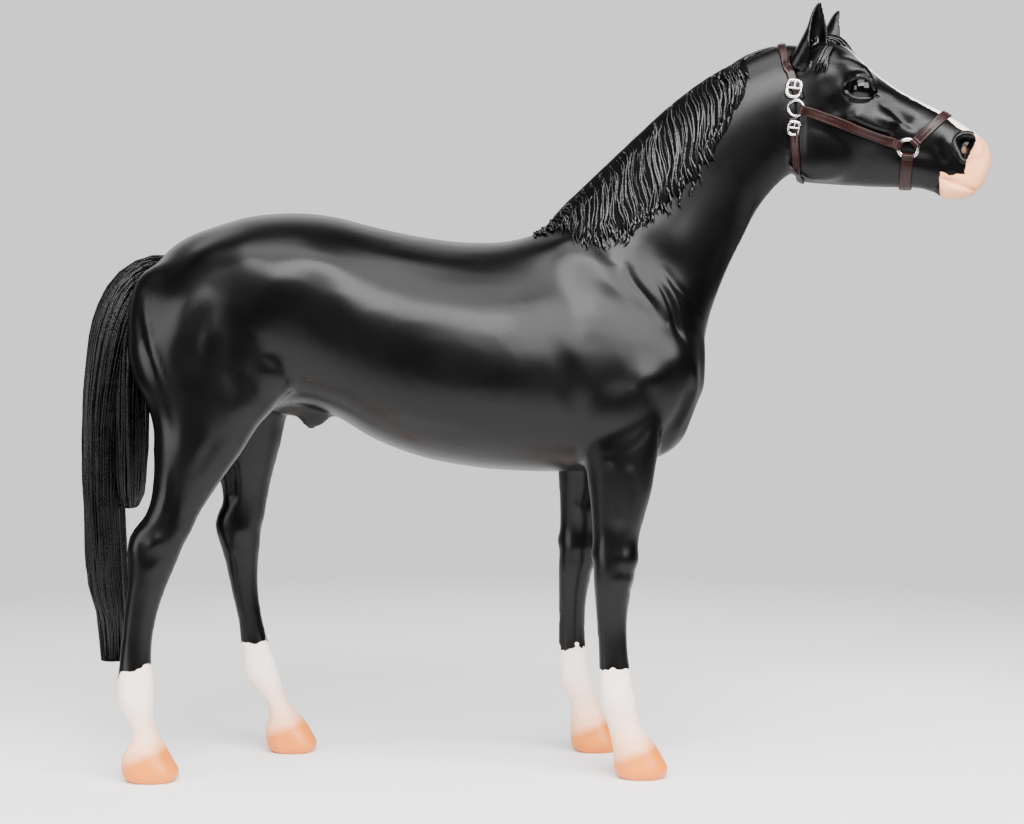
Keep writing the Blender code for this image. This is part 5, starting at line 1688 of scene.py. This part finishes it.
def skinFinish():
    finish = Finish("satinBlackBody", 0.28, specular=0.2)
    cloud = finish.cloud((60.0, 900.0), (0.06, 0.05))
    masks = {mark: finish.edge(mark, *numbers) for mark, numbers in coat["edges"].items()}
    pinkLow = finish.spread(finish.value("stocking"), 1.0, 0.0, -24.0, -10.0)
    colour = finish.mix(finish.spread(cloud, 0.0, 1.0), coat["black"], coat["blackWarm"])
    colour = finish.mix(masks["stocking"], colour, finish.mix(pinkLow, coat["white"], coat["pink"]))
    colour = finish.mix(masks["blaze"], colour, coat["white"])
    pink = finish.mix(finish.spread(cloud, 0.0, 0.7), coat["muzzle"], coat["pink"])
    colour = finish.mix(masks["muzzle"], colour, pink)
    # the gloss of the eye runs over the edges of its lids
    wet = finish.spread(finish.value("lids"), 1.0, 0.0, 0.3, 1.1)
    satin = finish.spread(cloud, 0.26, 0.31)
    rough = finish.node("Math", {0: wet, 1: -0.16, 2: satin}, operation="MULTIPLY_ADD").outputs[0]
    finish.feed({"Base Color": finish.mix(masks["spot"], colour, coat["spot"]), "Roughness": rough})
    return finish.material


def hoofFinish():
    finish = Finish("peachHoof", 0.42)
    cloud = finish.spread(finish.cloud((180.0, 1500.0)), 0.0, 1.0)
    base = finish.mix(cloud, coat["hoof"], coat["hoofPale"])
    pinkTop = finish.spread(finish.value("below"), 1.0, 0.0, 0.4, 4.2)
    finish.feed({"Base Color": finish.mix(pinkTop, base, coat["pink"])})
    place = finish.node("TexCoord").outputs["Object"]
    waves = finish.node("TexWave", {"Vector": place, "Scale": 260, "Distortion": 1.5}, wave_type="BANDS",
                        bands_direction="Z")
    finish.bump(waves.outputs["Fac"], 0.1, 0.12)
    return finish.material


def eyeFinish():
    finish = Finish("glossEye", 0.09, specular=0.3)
    # degrees from the middle of the gaze where the iris and the pupil fade
    iris, pupil = (
        finish.spread(finish.value("fromPupil"), 1.0, 0.0, *fade) for fade in ((22.0, 36.0), (9.0, 15.0)))
    colour = finish.mix(iris, coat["irisRim"], coat["iris"])
    finish.feed({"Base Color": finish.mix(pupil, colour, coat["black"])})
    return finish.material


materials = {name: cloudyFinish(name) for name in cloudyLooks}
materials.update(skin=skinFinish(), hoof=hoofFinish(), eye=eyeFinish())
print("materials made")


# into the frame

# the drawing's zero differs from the frame's by a small step
def frameStep():
    corners = [corner for node in ("eye_right", "eye_left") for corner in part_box(node)]
    step = np.mean(np.array(corners), 0) / mm - fromHead([eyes["boxMiddle"]])[0]
    step[2] = 0.0
    return step


homeStep = frameStep()


def settle(piece, material, slot, *nodes):
    setPoints(piece, getPoints(piece) + homeStep)
    piece.data.materials.clear()
    piece.data.materials.append(materials[material])
    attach(piece, "root")
    if nodes:
        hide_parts(*nodes)


settle(skin, "skin", "body_black", "trunk", "neck", "head", "ear_right", "ear_left", "foreleg_right",
       "foreleg_left", "hindleg_right", "hindleg_left")
for name, piece in hoofPieces.items():
    settle(piece, "hoof", "hoof_peach", "hoof_" + name)
for label, piece in eyePieces.items():
    settle(piece, "eye", "eye_gloss", "eye_" + label)
settle(maneBase, "maneShadow", "hair_black")
settle(maneLocks, "glossyMane", "hair_black", "mane")
settle(forelockLocks, "glossyMane", "hair_black", "forelock")
settle(tailCorePiece, "maneShadow", "hair_black")
settle(tailLocks, "blackTail", "hair_black", "tail")
for name, piece in strapPieces.items():
    settle(piece, "brownStrap", "strap_brown", name)
for name, piece in metalPieces.items():
    settle(piece, "silverMetal", "metal_silver", name)


# floor, light and camera

stage = {
    "lens": 81.9, "sensor": 36, "height": 0.1499, "away": 0.7, "lookDown": 3.5, "nearest": 0.01,
    "floorRadius": 0.5, "floorFade": (0.18, 0.44), "floorColour": (0.9, 0.9, 0.9),
    # the room is dim on the camera's side and pale behind the model
    "backdrop": 1.15, "surround": (0.2, 0.9, 0.04, 0.75),
    "dome": (1.7, 50, (-0.1, -0.35, 1.0)),    # strength, angle, direction it shines from
    # place, target, width and height, power
    "lamps": {
        "key": ((-0.04, -0.78, 0.72), (0, 0, 0.13), (0.7, 0.42), 21),
        "overhead": ((-0.05, -0.35, 1.0), (0, 0, 0.12), (0.8, 0.4), 6),
        "front": ((0.56, -0.62, 0.58), (0.06, 0, 0.15), (0.7, 0.62), 19),
        "rear": ((-0.78, -0.5, 0.3), (-0.1, 0, 0.12), (0.5, 0.6), 7),
        "back": ((0.0, 1.0, 0.8), (0, 0, 0.1), (1.6, 0.8), 4),
    },
}


def makeFloor():
    floor = newPiece("floor", bpy.ops.mesh.primitive_circle_add, vertices=128, radius=stage["floorRadius"],
                     fill_type="NGON")
    finish = Finish("paleFloor", 0.7, specular=0.2)
    finish.feed({"Base Color": stage["floorColour"]})
    place = finish.node("TexCoord").outputs["Object"]
    away = finish.node("VectorMath", {0: place}, operation="LENGTH").outputs["Value"]
    blend = finish.node("MixShader", {
        0: finish.spread(away, 0.0, 1.0, *stage["floorFade"]), 1: finish.shader.outputs[0],
        2: finish.node("BsdfTransparent").outputs[0]})
    fillSockets(finish.tree, finish.tree.nodes["Material Output"], {0: blend.outputs[0]})
    floor.data.materials.append(finish.material)


def addToScene(name, data, place):
    holder = bpy.data.objects.new(name, data)
    bpy.context.scene.collection.objects.link(holder)
    holder.location = place
    return holder


def addLamp(name, light, place, target):
    lamp = addToScene(name, light, place)
    lamp.rotation_euler = (Vector(target) - Vector(place)).to_track_quat("-Z", "Y").to_euler()


def makeLight():
    world = bpy.data.worlds.new("studio")
    bpy.context.scene.world = world
    world.use_nodes = True
    tree = world.node_tree
    parts = addNode(tree, "SeparateXYZ", {0: addNode(tree, "TexCoord").outputs["Generated"]})
    numbers = dict(zip(("From Min", "From Max", "To Min", "To Max"), stage["surround"]))
    room = addNode(tree, "MapRange", {"Value": parts.outputs["Y"], **numbers}).outputs["Result"]
    seen = addNode(tree, "LightPath").outputs["Is Camera Ray"]
    mix = addNode(tree, "Mix", {0: seen, 6: room, 7: (stage["backdrop"],) * 3}, data_type="RGBA")
    fillSockets(tree, tree.nodes["Background"], {"Color": mix.outputs[2]})
    dome = bpy.data.lights.new("dome", "SUN")
    dome.energy, angle, place = stage["dome"]
    dome.angle = math.radians(angle)
    addLamp("dome", dome, place, (0, 0, 0))
    for name, (place, target, (width, height), power) in stage["lamps"].items():
        light = bpy.data.lights.new(name, "AREA")
        light.shape, light.size, light.size_y, light.energy = "RECTANGLE", width, height, power
        addLamp(name, light, place, target)


def makeCamera():
    camera = bpy.data.cameras.new("camera")
    camera.lens, camera.sensor_width, camera.clip_start = stage["lens"], stage["sensor"], stage["nearest"]
    holder = addToScene("camera", camera, (homeStep[0] * mm, -stage["away"], stage["height"]))
    holder.rotation_euler = (math.radians(90 - stage["lookDown"]), 0, 0)
    bpy.context.scene.camera = holder


makeFloor()
makeLight()
makeCamera()
print("stage set")
